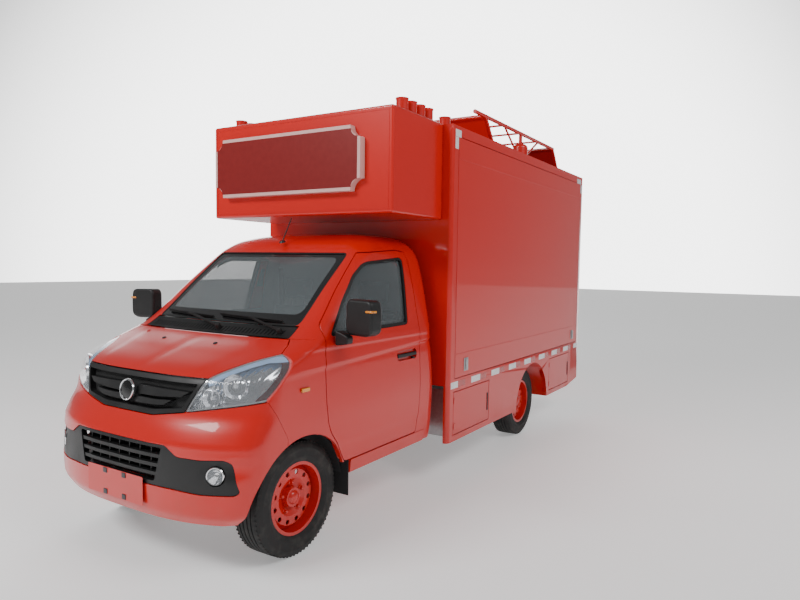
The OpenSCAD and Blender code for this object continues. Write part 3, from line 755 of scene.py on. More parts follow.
bowls = bmesh.new()
bulbs = bmesh.new()
for side in (1, -1):
    for place, facing, radius in (((side * 594, -340, 932), (side * 0.45, -1, 0.1), 56),
            ((side * 492, -392, 872), (side * 0.25, -1, 0.1), 46)):
        bowl = [(radius * 0.12, -radius * 0.7), (radius * 0.45, -radius * 0.62), (radius * 0.75, -radius * 0.38),
            (radius * 0.95, 0), (radius, 6), (radius * 1.04, 6), (radius * 1.0, -4), (radius * 0.78, -radius * 0.45),
            (radius * 0.45, -radius * 0.72), (radius * 0.12, -radius * 0.8), (radius * 0.12, -radius * 0.7)]
        one = turned(spun(bowl, 40), place, facing)
        add_to(bowls, one)
        bulb = turned(spun([(0, 4), (radius * 0.16, 0), (radius * 0.2, -10), (radius * 0.18, -radius * 0.5),
            (radius * 0.1, -radius * 0.7), (0, -radius * 0.7)], 24), place, facing)
        add_to(bulbs, bulb)
place_piece("headlamp_bowls", bowls, reflector)
place_piece("headlamp_bulbs", bulbs, bulb_glass)
fog_bowls = bmesh.new()
fog_covers = bmesh.new()
for place, facing in zip(fog_places, fog_facing):
    add_to(fog_bowls, turned(spun([(0, -34), (16, -30), (30, -14), (37, 6), (41, 8), (44, 4), (44, -6), (34, -22),
        (14, -38), (0, -40)], 40), place, facing))
    add_to(fog_covers, turned(spun([(0, 14), (14, 13), (28, 10), (37, 4), (37, 1), (28, 6), (14, 9), (0, 10)], 40),
        place, facing))
place_piece("fog_bowls", fog_bowls, chrome, slot="lamp")
place_piece("fog_covers", fog_covers, clear_cover)


# The number plate panel is a blank painted plate on the bumper with four dark square clips; the real plate's
# number is left off.
clip_plastic = material("clip_plastic", black_look(0.03, 0.35), "black_plastic")
plate_low, plate_high = bench_box("plate_panel")
plate = soften(crossed(cad("plate_panel"), block((-400, plate_low.y + 4, 0), (400, 0, 900))), 1.5)
place_piece("plate_panel_body", plate, red_paint, slot="red_panel", stands_for=["plate_panel"])
clips = bmesh.new()
plate_middle, plate_hole = (plate_low.z + plate_high.z) / 2, (75, 54)
for x in (-plate_hole[0], plate_hole[0]):
    for z in (plate_middle + plate_hole[1], plate_middle - plate_hole[1]):
        add_to(clips, soften(block((x - 15, plate_low.y + 0.2, z - 13), (x + 15, plate_low.y + 6, z + 13)), 3))
place_piece("plate_clips", clips, clip_plastic)


# Each door is a steel pressing round a window frame, with black rubber round the glass, a recessed black pull
# handle, a lock and a black mirror on an arm. The handle's writing is left off.
rubber = material("rubber", black_look(0.006, 0.55), "black_plastic")
door_skin = cab_skin(0, 45)
window_side = [(190, 1132), (356, 1320), (499, 1458), (590, 1520), (640, 1538), (1005, 1569), (1030, 1550),
    (971, 1141)]
window = rounded(window_side, 34)
door = crossed(door_skin.copy(), door_hole(0))
door = combine(door, prism(window, "x", *flank))
pocket = rounded([(822, 921), (1050, 921), (1050, 983), (822, 983)], 26)
door = combine(door, prism(pocket, "x", 736, 900))
door = panel(door, 3)
card = crossed(cab_skin(46, 60), door_hole(-12))
card = combine(card, prism(window, "x", *flank, 14))
seal = crossed(cab_skin(3, 40), crossed(prism(window, "x", *flank, -0.5), door_hole(0)))
seal = combine(seal, prism(rounded(window_side, 26), "x", 300, 900, -16))
glass = crossed(cab_skin(18, 23), crossed(door_hole(0), prism(window, "x", *flank, -1)))


def card_look(place):
    leather = place.node("ShaderNodeTexVoronoi", {}, {"Vector": place, "Scale": 320.0})
    return {"Base Color": blend_colours(grain(place, 5), (0.10, 0.10, 0.105), (0.14, 0.14, 0.145)),
        "Roughness": 0.62 + 0.1 * grain(place, 60),
        "Normal": bumps(leather, 0.3, 0.0005)}


window_glass = material("window_glass", speckled(1.4, 2, (0.10, 0.12, 0.13), (0.20, 0.23, 0.24), 0.02, 0.03,
    alpha=(0.42, 0.16), Coat_Weight=1.0), "glass")
cab_plastic = material("cab_plastic", card_look, "black_plastic")
handle = soften(block((740, 826, 940), (759, 1046, 964)), 6, 3)
lock = spun([(0, 12), (12, 12), (14, 10), (14, -8), (0, -8)], 28)
handle = joined(handle, turned(lock, (744, 1014, 918), (1, 0, 0)))
tray = crossed(cab_skin(20, 26), prism(pocket, "x", 700, 900, 6))


def place_pair(group, *pieces, body=None):
    """Places what is made for the driver's side on both sides. A row is a name, shape, finish, node and slot."""
    for side in ("left", "right"):
        for name, shape, finish, *rest in pieces:
            node, slot = (*rest, None, None)[:2]
            placed = shape.copy() if side == "left" else mirror_image(shape)
            place_piece(f"{group}_{side}_{name}", placed, finish, body=f"{body or group}_{side}", slot=slot,
                stands_for=[f"{node}_{side}"] if node else [])


place_pair("door", ("panel", door, red_paint, "door"), ("card", card, cab_plastic), ("seal", seal, rubber),
    ("handle", handle, black_trim), ("pocket", tray, red_paint), ("glass", glass, window_glass, "glass"))


# The mirrors are deep black shells on short arms, with a mirror glass facing back and an amber repeater strip
# along the outer end.
def lens_look(scale, dark, light, rough, spread, depth):
    def look(place):
        ribs = place.node("ShaderNodeTexWave", {}, {"Vector": place, "Scale": scale})
        return {"Base Color": blend_colours(ribs, dark, light),
            "Roughness": rough + spread * ribs,
            "Coat Weight": 1.0,
            "Normal": bumps(ribs, depth, 0.001)}
    return look


amber = material("amber_lens", lens_look(60.0, (0.75, 0.22, 0.01), (0.9, 0.32, 0.02), 0.12, 0.1, 0.2), "lamp")
mirror_turn = Matrix.Translation((800, 235, 1140)) @ Matrix.Rotation(math.radians(-8), 4, "Z")
head_outline = rounded([(0, 3), (150, 0), (192, 22), (195, 120), (186, 192), (20, 195), (2, 170)], 42, 7)


mirror_shell = soften(prism(head_outline, "y", 0, 85), 16, 4, 50)
mirror_shell = combine(mirror_shell, prism(head_outline, "y", 66, 120, -9))
mirror_face = prism(head_outline, "y", 70, 72, -10)
repeater = soften(block((150, -4, 128), (196, 40, 141)), 5, 3)
for shape in (mirror_shell, mirror_face, repeater):
    shape.transform(mirror_turn)
arm = prism(rounded([(757, 1085), (840, 1096), (842, 1136), (800, 1152), (757, 1165)], 14), "y", 205, 256)
mirror_shell = joined(mirror_shell, soften(arm, 6, 3, 50))
place_pair("mirror", ("shell", mirror_shell, black_trim, "mirror"), ("face", mirror_face, chrome, None, "glass"),
    ("repeater", repeater, amber), body="door")


# The windscreen is laminated glass bonded to the cab, with a black printed border that is deepest along the
# bottom. The wiper cowl below it is a ribbed black moulding, with two wipers parked to the passenger side.
printed_border = material("printed_border", speckled(20, 3, (0.004, 0.004, 0.005), (0.010, 0.010, 0.011), 0.08, 0,
    Coat_Weight=1.0), "black_plastic")
sight = rounded([(534, 1238), (497, 1560), (-497, 1560), (-534, 1238)], 46)
screen_glass = crossed(cab_skin(6, 11), prism(screen, "y", *screen_depth, -2))
border = crossed(cab_skin(4.5, 6.2), prism(screen, "y", *screen_depth, -2))
border = combine(border, prism(sight, "y", -100, 1000))
screen_seal = crossed(cab_skin(1, 14), prism(screen, "y", *screen_depth, -0.3))
screen_seal = combine(screen_seal, prism(rounded(screen_line, 26), "y", -200, 1000, -9))
place_piece("windscreen_glass", panel(screen_glass, 0), window_glass, stands_for=["windscreen"])
place_piece("windscreen_border", panel(border, 0), printed_border)
place_piece("windscreen_seal", panel(screen_seal, 1), rubber)
cowl = crossed(cab_skin(2, 20), prism(mirrored([(588, 1128), (576, 1177)]), "y", -100, 300))
for x in range(-520, 521, 26):
    cowl = combine(cowl, crossed(cab_skin(-4, 8), block((x - 4, -100, 1136), (x + 4, 300, 1160))))
place_piece("wiper_cowl", panel(cowl, 1.5), black_trim, stands_for=["cowl"])


def skin_point(x, z, off):
    """The point of the cab's front at x and height z, lifted off the skin."""
    low, high = 0.0, 1.0
    for _ in range(30):
        middle = (low + high) / 2
        low, high = (middle, high) if cab_row(middle)[0] < z else (low, middle)
    row = cab_row(low)
    y = row[2] + row[3] * (abs(x) / 600) ** 3
    step = cab_row(min(1, low + 0.004))
    rise = (step[2] - row[2]) / max(1e-6, step[0] - row[0])
    normal = Vector((3 * row[3] * x * abs(x) / 600 ** 3, -1, rise)).normalized()
    return Vector((x, y, z)) + normal * off, normal


def skin_run(start, end, off, steps):
    return [skin_point(start[0] + (end[0] - start[0]) * i / steps, start[1] + (end[1] - start[1]) * i / steps, off)
        for i in range(steps + 1)]


def swept_bar(run, width, height):
    """A bar that narrows upwards, carried through a run of points and normals."""
    bar = bmesh.new()
    rows = []
    for i, (p, normal) in enumerate(run):
        direction = (run[min(i + 1, len(run) - 1)][0] - run[max(i - 1, 0)][0]).normalized()
        across = direction.cross(normal).normalized() * width / 2
        lift = across.cross(direction).normalized() * height
        corners = (-across, across, across * 0.6 + lift, lift - across * 0.6)
        rows.append([bar.verts.new(p + corner) for corner in corners])
    for a, b in zip(rows, rows[1:]):
        for i in range(4):
            bar.faces.new((a[i], a[(i + 1) % 4], b[(i + 1) % 4], b[i]))
    bar.faces.new(rows[0])
    bar.faces.new(rows[-1][::-1])
    bmesh.ops.recalc_face_normals(bar, faces=bar.faces)
    return bar


wipers = bmesh.new()
for start, end, pivot in (((-52, 1196), (-500, 1212), (60, 1150)), ((470, 1196), (-10, 1212), (500, 1150))):
    run = skin_run(start, end, 3, 12)
    add_to(wipers, swept_bar(run, 12, 16))
    add_to(wipers, swept_bar(skin_run(pivot, (run[6][0].x, 1204), 16, 6), 16, 8))
    foot, normal = skin_point(pivot[0], pivot[1], -4)
    add_to(wipers, turned(spun([(0, 34), (10, 33), (15, 26), (17, 0), (0, 0)], 24), foot, normal))
place_piece("wipers", wipers, black_trim)
jets = bmesh.new()
for x in (-210, 210):
    foot, normal = skin_point(x, 1085, -2)
    add_to(jets, soften(turned(spun([(0, 11), (9, 10), (13, 5), (14, 0), (0, 0)], 20), foot, normal), 1))
place_piece("washer_jets", jets, black_trim, body="hood")
antenna = joined(turned(spun([(0, 14), (14, 12), (20, 3), (22, 0), (0, 0)], 28), (0, 606, 1652), (0, -0.3, 1)),
    turned(spun([(0, 175), (3, 174), (4, 10), (6, 0), (0, 0)], 16), (0, 606, 1660), (0, 0.55, 1)))
place_piece("antenna", antenna, black_trim)
markers = bmesh.new()
for side in (1, -1):
    add_to(markers, soften(block((side * 766 - 6, -66, 876), (side * 766 + 6, -8, 897)), 4, 3))
place_piece("side_markers", markers, amber)


# The tyres are rubber with four grooves round the tread, cross cuts in the shoulders and raised rings on the
# sidewalls; their lettering is left off. The rims are pressed steel discs painted red, with twelve round vents.
def tyre_look(place):
    dust = grain(place, 18, 6)
    return {"Base Color": blend_colours(eased(dust, 0.45, 0.8), (0.012, 0.012, 0.012), (0.045, 0.042, 0.038)),
        "Roughness": 0.62 + 0.2 * dust,
        "Normal": bumps(grain(place, 160, 3), 0.25, 0.0008)}


steel_look = speckled(60, 4, (0.38, 0.38, 0.39), (0.60, 0.60, 0.61), 0.25, 0.2, Metallic=0.9)
tyre_rubber = material("tyre_rubber", tyre_look, "tyre")
bright_steel = material("bright_steel", steel_look, "steel")
for end in ("front", "rear"):
    for side in ("left", "right"):
        label = end + "_" + side
        low, high = bench_box("tyre_" + label)
        hub, radius, half = (low + high) / 2, (high.z - low.z) / 2, (high.x - low.x) / 2
        rim_low, rim_high = bench_box("rim_" + label)
        seat = (rim_high.z - rim_low.z) / 2
        groove = [(r, x) for x0 in (-0.46, -0.16, 0.16, 0.46) for r, x in
            ((radius, (x0 - 0.045) * half), (radius - 7, (x0 - 0.03) * half), (radius - 7, (x0 + 0.03) * half),
            (radius, (x0 + 0.045) * half))]
        wall = [(radius - 3, 0.80), (radius - 10, 0.88), (radius - 22, 0.94), (radius - 34, 0.985), (radius - 37, 1.0),
            (radius - 41, 1.0), (radius - 44, 0.985), (seat + 34, 0.99), (seat + 31, 1.0), (seat + 27, 1.0),
            (seat + 24, 0.98), (seat + 10, 0.93), (seat + 3, 0.86), (seat - 3, 0.80)]
        outer = [(r, x * half) for r, x in wall]
        profile = [(r, -x) for r, x in reversed(outer)] + groove + outer
        profile += [(seat - 3, 0.5 * half), (seat - 3, -0.5 * half), profile[0]]
        tyre = spun(profile, 120)
        tyre.transform(Matrix.Translation(hub))
        place_piece("tyre_" + label + "_rubber", tyre, tyre_rubber, body="wheel_" + label,
            stands_for=["tyre_" + label])
        lugs = bmesh.new()
        for i in range(72):
            for edge in (1, -1):
                lug = block(((edge * 0.78 - 0.1) * half, -4.2, radius - 12),
                    ((edge * 0.78 + 0.08) * half, 4.2, radius - 1.2))
                lug.transform(Matrix.Rotation(math.tau * i / 72, 4, "X"))
                add_to(lugs, lug)
        lugs.transform(Matrix.Translation(hub))
        place_piece("tread_" + label, lugs, tyre_rubber, body="wheel_" + label)
        rim = cad("rim_" + label)
        for v in rim.verts:
            out = Vector((0, v.co.y - hub.y, v.co.z - hub.z))
            if out.length < 22:
                v.co += out * 0.03
        rim = soften(rim, 3, 3)
        place_piece("rim_" + label + "_disc", rim, red_paint, body="wheel_" + label,
            stands_for=["rim_" + label])
        nuts = bmesh.new()
        for i in range(5):
            at = math.tau * (i + 0.25) / 5
            nut = spun([(0, 22), (6, 22), (9, 19), (10, 4), (14, 2), (14, -8), (0, -8)], 6)
            nut.transform(Matrix.Translation((22, 78 * math.cos(at), 78 * math.sin(at))))
            add_to(nuts, nut)
        cap = spun([(0, 62), (14, 61), (26, 57), (34, 50), (37, 44), (0, 44)], 48)
        valve = turned(spun([(0, 24), (3, 24), (4, 6), (6, 0), (0, 0)], 12), (10, 0, 158), (1, 0, -0.35))
        for name, shape, finish in (("nuts", nuts, red_paint), ("cap", cap, red_paint), ("valve", valve, rubber)):
            if side == "right":
                shape = mirror_image(shape)
            shape.transform(Matrix.Translation(hub))
            place_piece("wheel_" + label + "_" + name, shape, finish, body="wheel_" + label)


# The sales box is one welded body of painted panels, white inside, with a rounded upright at each front corner and
# hatch, door and locker openings cut through it. Its side hatches, rear doors and locker doors hang on hinges.
box_low, box_high = bench_box("box_roof")
wall = box_high.z - box_low.z
floor_low = bench_box("box_floor")[0]


def inner_white(place):
    sheen = grain(place, 3, 4)
    return {"Base Color": blend_colours(sheen, (0.72, 0.72, 0.71), (0.80, 0.80, 0.79)),
        "Roughness": 0.35 + 0.15 * sheen,
        "Normal": bumps(grain(place, 120, 2), 0.05, 0.0006)}


white_lining = material("white_lining", inner_white)
shell = joined(cad("box_roof"), cad("box_front_wall"), cad("box_posts"), cad("box_rails"), cad("side_skirts"))
front_edge = box_low.y


def corner_post(edge):
    a, b = (v.co for v in edge.verts)
    at_front = abs(a.y - front_edge) < 1 and abs(b.y - front_edge) < 1
    return at_front and abs(a.z - b.z) > 200 and abs(abs(a.x) - box_high.x) < 1


soften(shell, 30, 6, 30, corner_post)
soften(shell, 3, 2, 50)
for face in shell.faces:
    middle = face.calc_center_median()
    inside = abs(middle.x) < box_high.x - wall + 1 and box_low.y + wall - 1 < middle.y < box_high.y - wall + 1
    face.material_index = 1 if inside and floor_low.z < middle.z < box_high.z - 1 else 0
place_piece("box_body", shell, [red_paint, white_lining],
    stands_for=["box_roof", "box_front_wall", "box_posts", "box_rails", "side_skirts"])


# The hatch in each side swings up under two gas struts. It is a flat painted panel with a folded seam along its
# upper and lower edges, white inside, and two bright over-centre latches hold its lower edge.
def lined(shape, inward):
    for face in shape.faces:
        face.material_index = 1 if face.normal.dot(Vector(inward)) > 0.6 else 0
    return shape


flap_low, flap_high = bench_box("flap_left")
flap = cad("flap_left")
for height in (905, 2247):
    flap = combine(flap, block((flap_high.x - 2, flap_low.y - 5, height - 1.5),
        (flap_high.x + 5, flap_high.y + 5, height + 1.5)))
flap = lined(soften(flap, 3, 2, 50), (-1, 0, 0))
strut = joined(*(turned(spun(profile, 24), (flap_low.x - 22, y, 1500), (0, 0, 1)) for y in
    (flap_low.y + 40, flap_high.y - 40) for profile in ([(0, 340), (7, 340), (7, 0), (0, 0)],
    [(0, 20), (12, 20), (12, -320), (0, -320)])))
latches = bmesh.new()
for y in (1589, 4023):
    add_to(latches, soften(block((flap_high.x - 1, y - 32, 770), (flap_high.x + 5, y + 32, 864)), 6, 3))
    add_to(latches, soften(block((flap_high.x + 3, y - 14, 778), (flap_high.x + 15, y + 14, 856)), 5, 3))
place_pair("flap", ("panel", flap, [red_paint, white_lining], "flap"), ("latches", latches, bright_steel),
    ("struts", strut, bright_steel))

# The rear doors are a matching pair: flat panels with a lock bar each, three hinges each and white inner faces.
# Their form can't be seen from the front and follows other boxes of this kind.
door = cad("rear_door_left")
door_low, door_high = bench_box("rear_door_left")
door = lined(soften(door, 3, 2, 50), (0, -1, 0))
bar = turned(spun([(0, 1500), (8, 1500), (8, 0), (0, 0)], 20), (120, door_high.y + 9, door_low.z + 60), (0, 0, 1))
for z in (door_low.z + 120, (door_low.z + door_high.z) / 2, door_low.z + 1480):
    bar = joined(bar, soften(block((92, door_high.y - 1, z - 18), (148, door_high.y + 10, z + 18)), 3))
bar = joined(bar, soften(block((112, door_high.y + 6, 1180), (330, door_high.y + 17, 1206)), 4, 3))
rear_hinges = bmesh.new()
for z in (door_low.z + 150, (door_low.z + door_high.z) / 2, door_high.z - 150):
    add_to(rear_hinges, soften(block((door_high.x - 90, door_high.y - 1, z - 26),
        (door_high.x - 2, door_high.y + 5, z + 26)), 2))
place_pair("rear_door", ("panel", door, [red_paint, white_lining], "rear_door"), ("lock_bar", bar, bright_steel),
    ("hinges", rear_hinges, red_paint))

# Under the floor each side has two lockers: galvanised trays behind flat doors with a slit latch at one end and two
# small hinges at the other.
galvanised = material("galvanised", steel_look, "steel")
place_piece("locker_trays", soften(cad("lockers"), 2), galvanised, stands_for=["lockers"])
for end in ("front", "rear"):
    group = "locker_door_" + end
    low, high = bench_box(group + "_left")
    locker_door = soften(cad(group + "_left"), 3, 2, 50)
    latch_y = high.y - 26
    latch = soften(block((high.x - 1, latch_y - 9, 410), (high.x + 3, latch_y + 9, 548)), 3, 3)
    latch = combine(latch, block((high.x + 1.5, latch_y - 4, 420), (high.x + 6, latch_y + 4, 538)))
    pins = bmesh.new()
    for z in (low.z + 60, high.z - 60):
        add_to(pins, soften(block((high.x - 1, low.y + 2, z - 22), (high.x + 4, low.y + 30, z + 22)), 2))
    place_pair(group, ("panel", locker_door, red_paint, group), ("latch", latch, black_trim),
        ("hinges", pins, red_paint))


# Reflective tape runs along each side under the hatch and across the back, in red and white lengths with a fine
# honeycomb. Short white lengths mark the upper corners of each side.
def tape_look(tone):
    def look(place):
        cells = place.node("ShaderNodeTexVoronoi", {"feature": "DISTANCE_TO_EDGE"}, {"Vector": place, "Scale": 260.0})
        return {"Base Color": blend_colours(eased(cells, 0.0, 0.06), tuple(0.6 * c for c in tone), tone),
            "Roughness": 0.22,
            "Coat Weight": 0.8,
            "Normal": bumps(cells, 0.2, 0.0004)}
    return look


white_tape = material("white_tape", tape_look((0.86, 0.87, 0.88)))
red_tape = material("red_tape", tape_look((0.50, 0.006, 0.004)))
side_x = box_high.x
white_runs = bmesh.new()
red_runs = bmesh.new()
starts = (1323, 1683, 2034, 2378, 2720, 3074, 3421, 3765, 4101)
for start, after in zip(starts, starts[1:] + (4460,)):
    for low, high, group in ((start, start + 150, white_runs), (start + 155, after - 96, red_runs)):
        for lo, hi in ((low, low + (high - low) / 2 - 1), (low + (high - low) / 2 + 1, high)):
            lo, hi = max(lo, box_low.y + 32), min(hi, box_high.y - 6)
            if hi - lo > 8:
                add_to(group, soften(block((side_x - 0.2, lo, 666), (side_x + 0.9, hi, 712)), 0.4, 1))
for low, high in (((1372, 2392), (1455, 2440)), ((1372, 2310), (1418, 2390)), ((4060, 2392), (4190, 2440)),
        ((4180, 2300), (4226, 2390))):
    add_to(white_runs, soften(block((side_x - 0.2, low[0], low[1]), (side_x + 0.9, high[0], high[1])), 0.4, 1))
for name, group, finish in (("white_tape", white_runs, white_tape), ("red_tape", red_runs, red_tape)):
    place_piece(name + "_right", mirror_image(group), finish)
    place_piece(name + "_left", group, finish)
rear_tape = bmesh.new()
rear_red = bmesh.new()
for i in range(10):
    x = -side_x + 30 + i * 166
    add_to(rear_red if i % 2 else rear_tape,
        soften(block((x, box_high.y - 0.2, 666), (min(x + 150, side_x - 10), box_high.y + 0.9, 712)), 0.4, 1))
place_piece("rear_tape_white", rear_tape, white_tape)
place_piece("rear_tape_red", rear_red, red_tape)


# The sign box over the cab roof is a riveted sheet box with rounded edges and a thin raised frame on its front.
# The board on it has a pale border round a dark red field and no lettering.
luton_low, luton_high = bench_box("luton")
luton = cad("luton")


def outer_edge(edge):
    a, b = (v.co for v in edge.verts)
    on_sides = all(abs(abs(p.x) - luton_high.x) < 1 for p in (a, b))
    return on_sides or all(abs(p.y - luton_low.y) < 1 for p in (a, b)) or all(abs(p.z - luton_high.z) < 1
        for p in (a, b))


soften(luton, 16, 4, 30, outer_edge)
place_piece("sign_box", luton, red_paint, stands_for=["luton"])
sign_low, sign_high = bench_box("sign_board")


def notched(inset, radius):
    x0, x1, z0, z1 = sign_low.x + inset, sign_high.x - inset, sign_low.z + inset, sign_high.z - inset
    outline = []
    for cx, cz, start in ((x0, z0, 90), (x1, z0, 180), (x1, z1, 270), (x0, z1, 0)):
        bite = [math.radians(start - 9 * i) for i in range(11)]
        outline += [(cx + radius * math.cos(a), cz + radius * math.sin(a)) for a in bite]
    return outline


sign_red = material("sign_red", speckled(30, 3, (0.20, 0.006, 0.006), (0.25, 0.010, 0.008), 0.30, 0.1,
    Coat_Weight=0.3), "dark_paint")
sign_edge = material("sign_edge", speckled(12, 3, (0.72, 0.42, 0.38), (0.82, 0.52, 0.48), 0.35, 0.1), "dark_paint")
notch = 48
place_piece("sign_board_edge", soften(cad("sign_board"), 2, 2, 40), sign_edge, stands_for=["sign_board"])
field = prism(notched(22, notch), "y", sign_low.y - 1.2, sign_low.y + 2)
place_piece("sign_field", field, sign_red)


def sign_face(inset, front, back):
    return prism([(luton_low.x + inset, luton_low.z + inset - 2), (luton_high.x - inset, luton_low.z + inset - 2),
        (luton_high.x - inset, luton_high.z - inset + 2), (luton_low.x + inset, luton_high.z - inset + 2)],
        "y", luton_low.y + front, luton_low.y + back)


frame_line = combine(sign_face(26, -2, 3), sign_face(32, -9, 9))
place_piece("sign_box_seam", frame_line, red_paint)

# Spotlight cans stand along the edge of the roof: short painted cups with a rolled rim, glazed on top.
pots = bmesh.new()
lenses = bmesh.new()
for y in (921, 1023, 1125, 1227, 1468):
    base = luton_high.z if y < box_low.y else box_high.z
    add_to(pots, turned(spun([(0, 4), (34, 4), (36, 6), (36, 74), (39, 80), (42, 80), (42, 74), (39, 66), (39, 12), (42, 8),
        (42, 0), (0, 0)], 40), (700, y, base), (0, 0, 1)))
    add_to(lenses, turned(spun([(0, 72), (20, 71), (36, 68), (36, 60), (0, 60)], 40), (700, y, base), (0, 0, 1)))
for name, group, finish, nodes in (("spot_cans", pots, red_paint, ["lamp_pots"]),
        ("spot_lenses", lenses, bulb_glass, [])):
    add_to(group, mirror_image(group))
    place_piece(name, group, finish, stands_for=nodes)

# The roof frame is welded of round tube and carries two leaning sheets, bright red at the front and dark red at
# the back, with braces and a folded awning motor under it.
dark_red = material("dark_red", red_look((0.28, 0.006, 0.004), (0.34, 0.009, 0.005)))
rack = soften(cad("roof_frame"), 1, 1, 60)
rack_high = bench_box("roof_frame")[1]
for face in rack.faces:
    middle = face.calc_center_median()
    face.material_index = 1 if middle.y > 3300 and abs(middle.x) < 560 else 0
place_piece("roof_frame_tubes", rack, [red_paint, dark_red], slot="dark_paint", stands_for=["roof_frame"])
braces = bmesh.new()
tube_x = rack_high.x - 14


def tube(start, end, radius, steps=20):
    start, end = Vector(start), Vector(end)
    length = (end - start).length
    return turned(spun([(0, length), (radius, length), (radius, 0), (0, 0)], steps), start, end - start)


for x in (-tube_x, tube_x):
    add_to(braces, tube((x, 2988, box_high.z + 8), (x, 3420, rack_high.z - 20), 9))
    add_to(braces, tube((x, 2988, box_high.z + 8), (x, 2620, rack_high.z - 20), 9))
for y in (2620, 2988, 3420):
    add_to(braces, tube((-tube_x, y, rack_high.z - 14), (tube_x, y, rack_high.z - 14), 9))
place_piece("roof_frame_braces", braces, red_paint)
unit = soften(block((-330, 3040, box_high.z - 0.5), (330, 3420, box_high.z + 130)), 14, 3)
for x in range(-290, 300, 36):
    unit = combine(unit, block((x, 3030, box_high.z + 30), (x + 20, 3060, box_high.z + 110)))
place_piece("roof_unit", unit, black_trim)
hump = spun([(0, 130), (44, 130), (60, 118), (66, 100), (66, 0), (0, 0)], 48)
hump = crossed(turned(hump, (690, 2867, box_high.z), (0, 0, 1)),
    block((600, 2780, box_high.z - 1), (800, 2960, box_high.z + 200)))
place_piece("roof_vent", hump, red_paint)


# The floor inside the box is chequered aluminium sheet over plywood, laid wall to wall and screwed down to the
# rails.
def tread_plate(place):
    turned_place = place.node("ShaderNodeVectorRotate", {"rotation_type": "Z_AXIS"},
        {"Vector": place, "Angle": math.radians(45)})
    bars = turned_place.node("ShaderNodeTexBrick", {"offset": 0.5}, {"Vector": turned_place, "Scale": 18.0,
        "Mortar Size": 0.03, "Mortar Smooth": 0.2}, out=1)
    wear = grain(place, 10, 5)
    return {"Base Color": blend_colours(wear, (0.42, 0.42, 0.43), (0.58, 0.58, 0.59)),
        "Metallic": 0.85,
        "Roughness": 0.28 + 0.25 * wear,
        "Normal": bumps(bars, 0.5, 0.0015)}


place_piece("box_deck", soften(cad("box_floor"), 2, 1, 60), material("tread_plate", tread_plate, "steel"), stands_for=["box_floor"])

# The tail lamps are ribbed lens blocks in a black housing under each rear corner: red over amber over white.
# They are screwed to the rear of the box.
lamp_low, lamp_high = bench_box("tail_lamps")
housings = bmesh.new()
lens_groups = {"red": bmesh.new(), "amber": bmesh.new(), "white": bmesh.new()}
for side in (1, -1):
    outer, inner = side * lamp_high.x, side * (lamp_high.x - 100)
    low_x, high_x = min(outer, inner), max(outer, inner)
    add_to(housings, soften(block((low_x, lamp_low.y, 470), (high_x, lamp_high.y - 6, 640)), 5, 3))
    for tone, z0, z1 in (("red", 572, 632), ("amber", 524, 568), ("white", 478, 520)):
        add_to(lens_groups[tone], soften(block((low_x + 8, lamp_low.y + 4, z0), (high_x - 8, lamp_high.y, z1)), 5, 3))
place_piece("tail_lamp_housings", housings, black_trim, stands_for=["tail_lamps"])
for tone, colour in (("red", (0.55, 0.01, 0.008)), ("amber", (0.8, 0.26, 0.02)), ("white", (0.8, 0.8, 0.8))):
    place_piece("tail_lens_" + tone, lens_groups[tone], material(tone + "_lens",
        lens_look(90.0, tuple(0.75 * c for c in colour), colour, 0.10, 0.08, 0.25),
        "tail_red" if tone == "red" else "lamp"))

# The cab's floor and bulkhead are painted, with rubber matting; the dashboard is grained grey plastic with a
# shroud over dark dials, a centre stack with a blank screen and vents, and the wheel has a padded rim.
place_piece("cab_floor_body", soften(cad("cab_floor"), 2, 1, 60), red_paint, stands_for=["cab_floor"])
place_piece("cab_mat", soften(block((-600, 400, 475), (600, 660, 481)), 2, 2), rubber)
place_piece("dashboard_body", soften(cad("dashboard"), 14, 4, 20), cab_plastic, stands_for=["dashboard"])
shroud = soften(prism([(240, 1080), (430, 1060), (440, 1100), (400, 1140), (260, 1130)], "x", 200, 500), 12, 3)
place_piece("dial_shroud", shroud, black_trim)
place_piece("centre_stack", soften(block((-120, 400, 900), (120, 446, 1070)), 10, 3), black_trim)
place_piece("screen_face", soften(block((-85, 440, 985), (85, 450, 1050)), 3, 2), black_gloss, slot="glass")
place_piece("steering_wheel_body", soften(cad("steering_wheel"), 3, 2, 50), black_trim, stands_for=["steering_wheel"])


# The two seats are foam pads in dark grey woven cloth on black bases: a squab, a leaning back with side bolsters
# and a separate headrest on two posts. The pads are blown up as cloth so that their covers pull tight.
def cloth_look(place):
    warp = place.node("ShaderNodeTexWave", {"bands_direction": "X"}, {"Vector": place, "Scale": 210.0})
    weft = place.node("ShaderNodeTexWave", {"bands_direction": "Z"}, {"Vector": place, "Scale": 210.0})
    weave = warp * weft
    fade = grain(place, 7, 4)
    return {"Base Color": blend_colours(weave * 0.6 + 0.4 * fade, (0.022, 0.023, 0.026), (0.075, 0.077, 0.084)),
        "Roughness": 0.85 + 0.1 * fade,
        "Normal": bumps(weave, 0.35, 0.0008)}


seat_cloth = material("seat_cloth", cloth_look, "fabric")


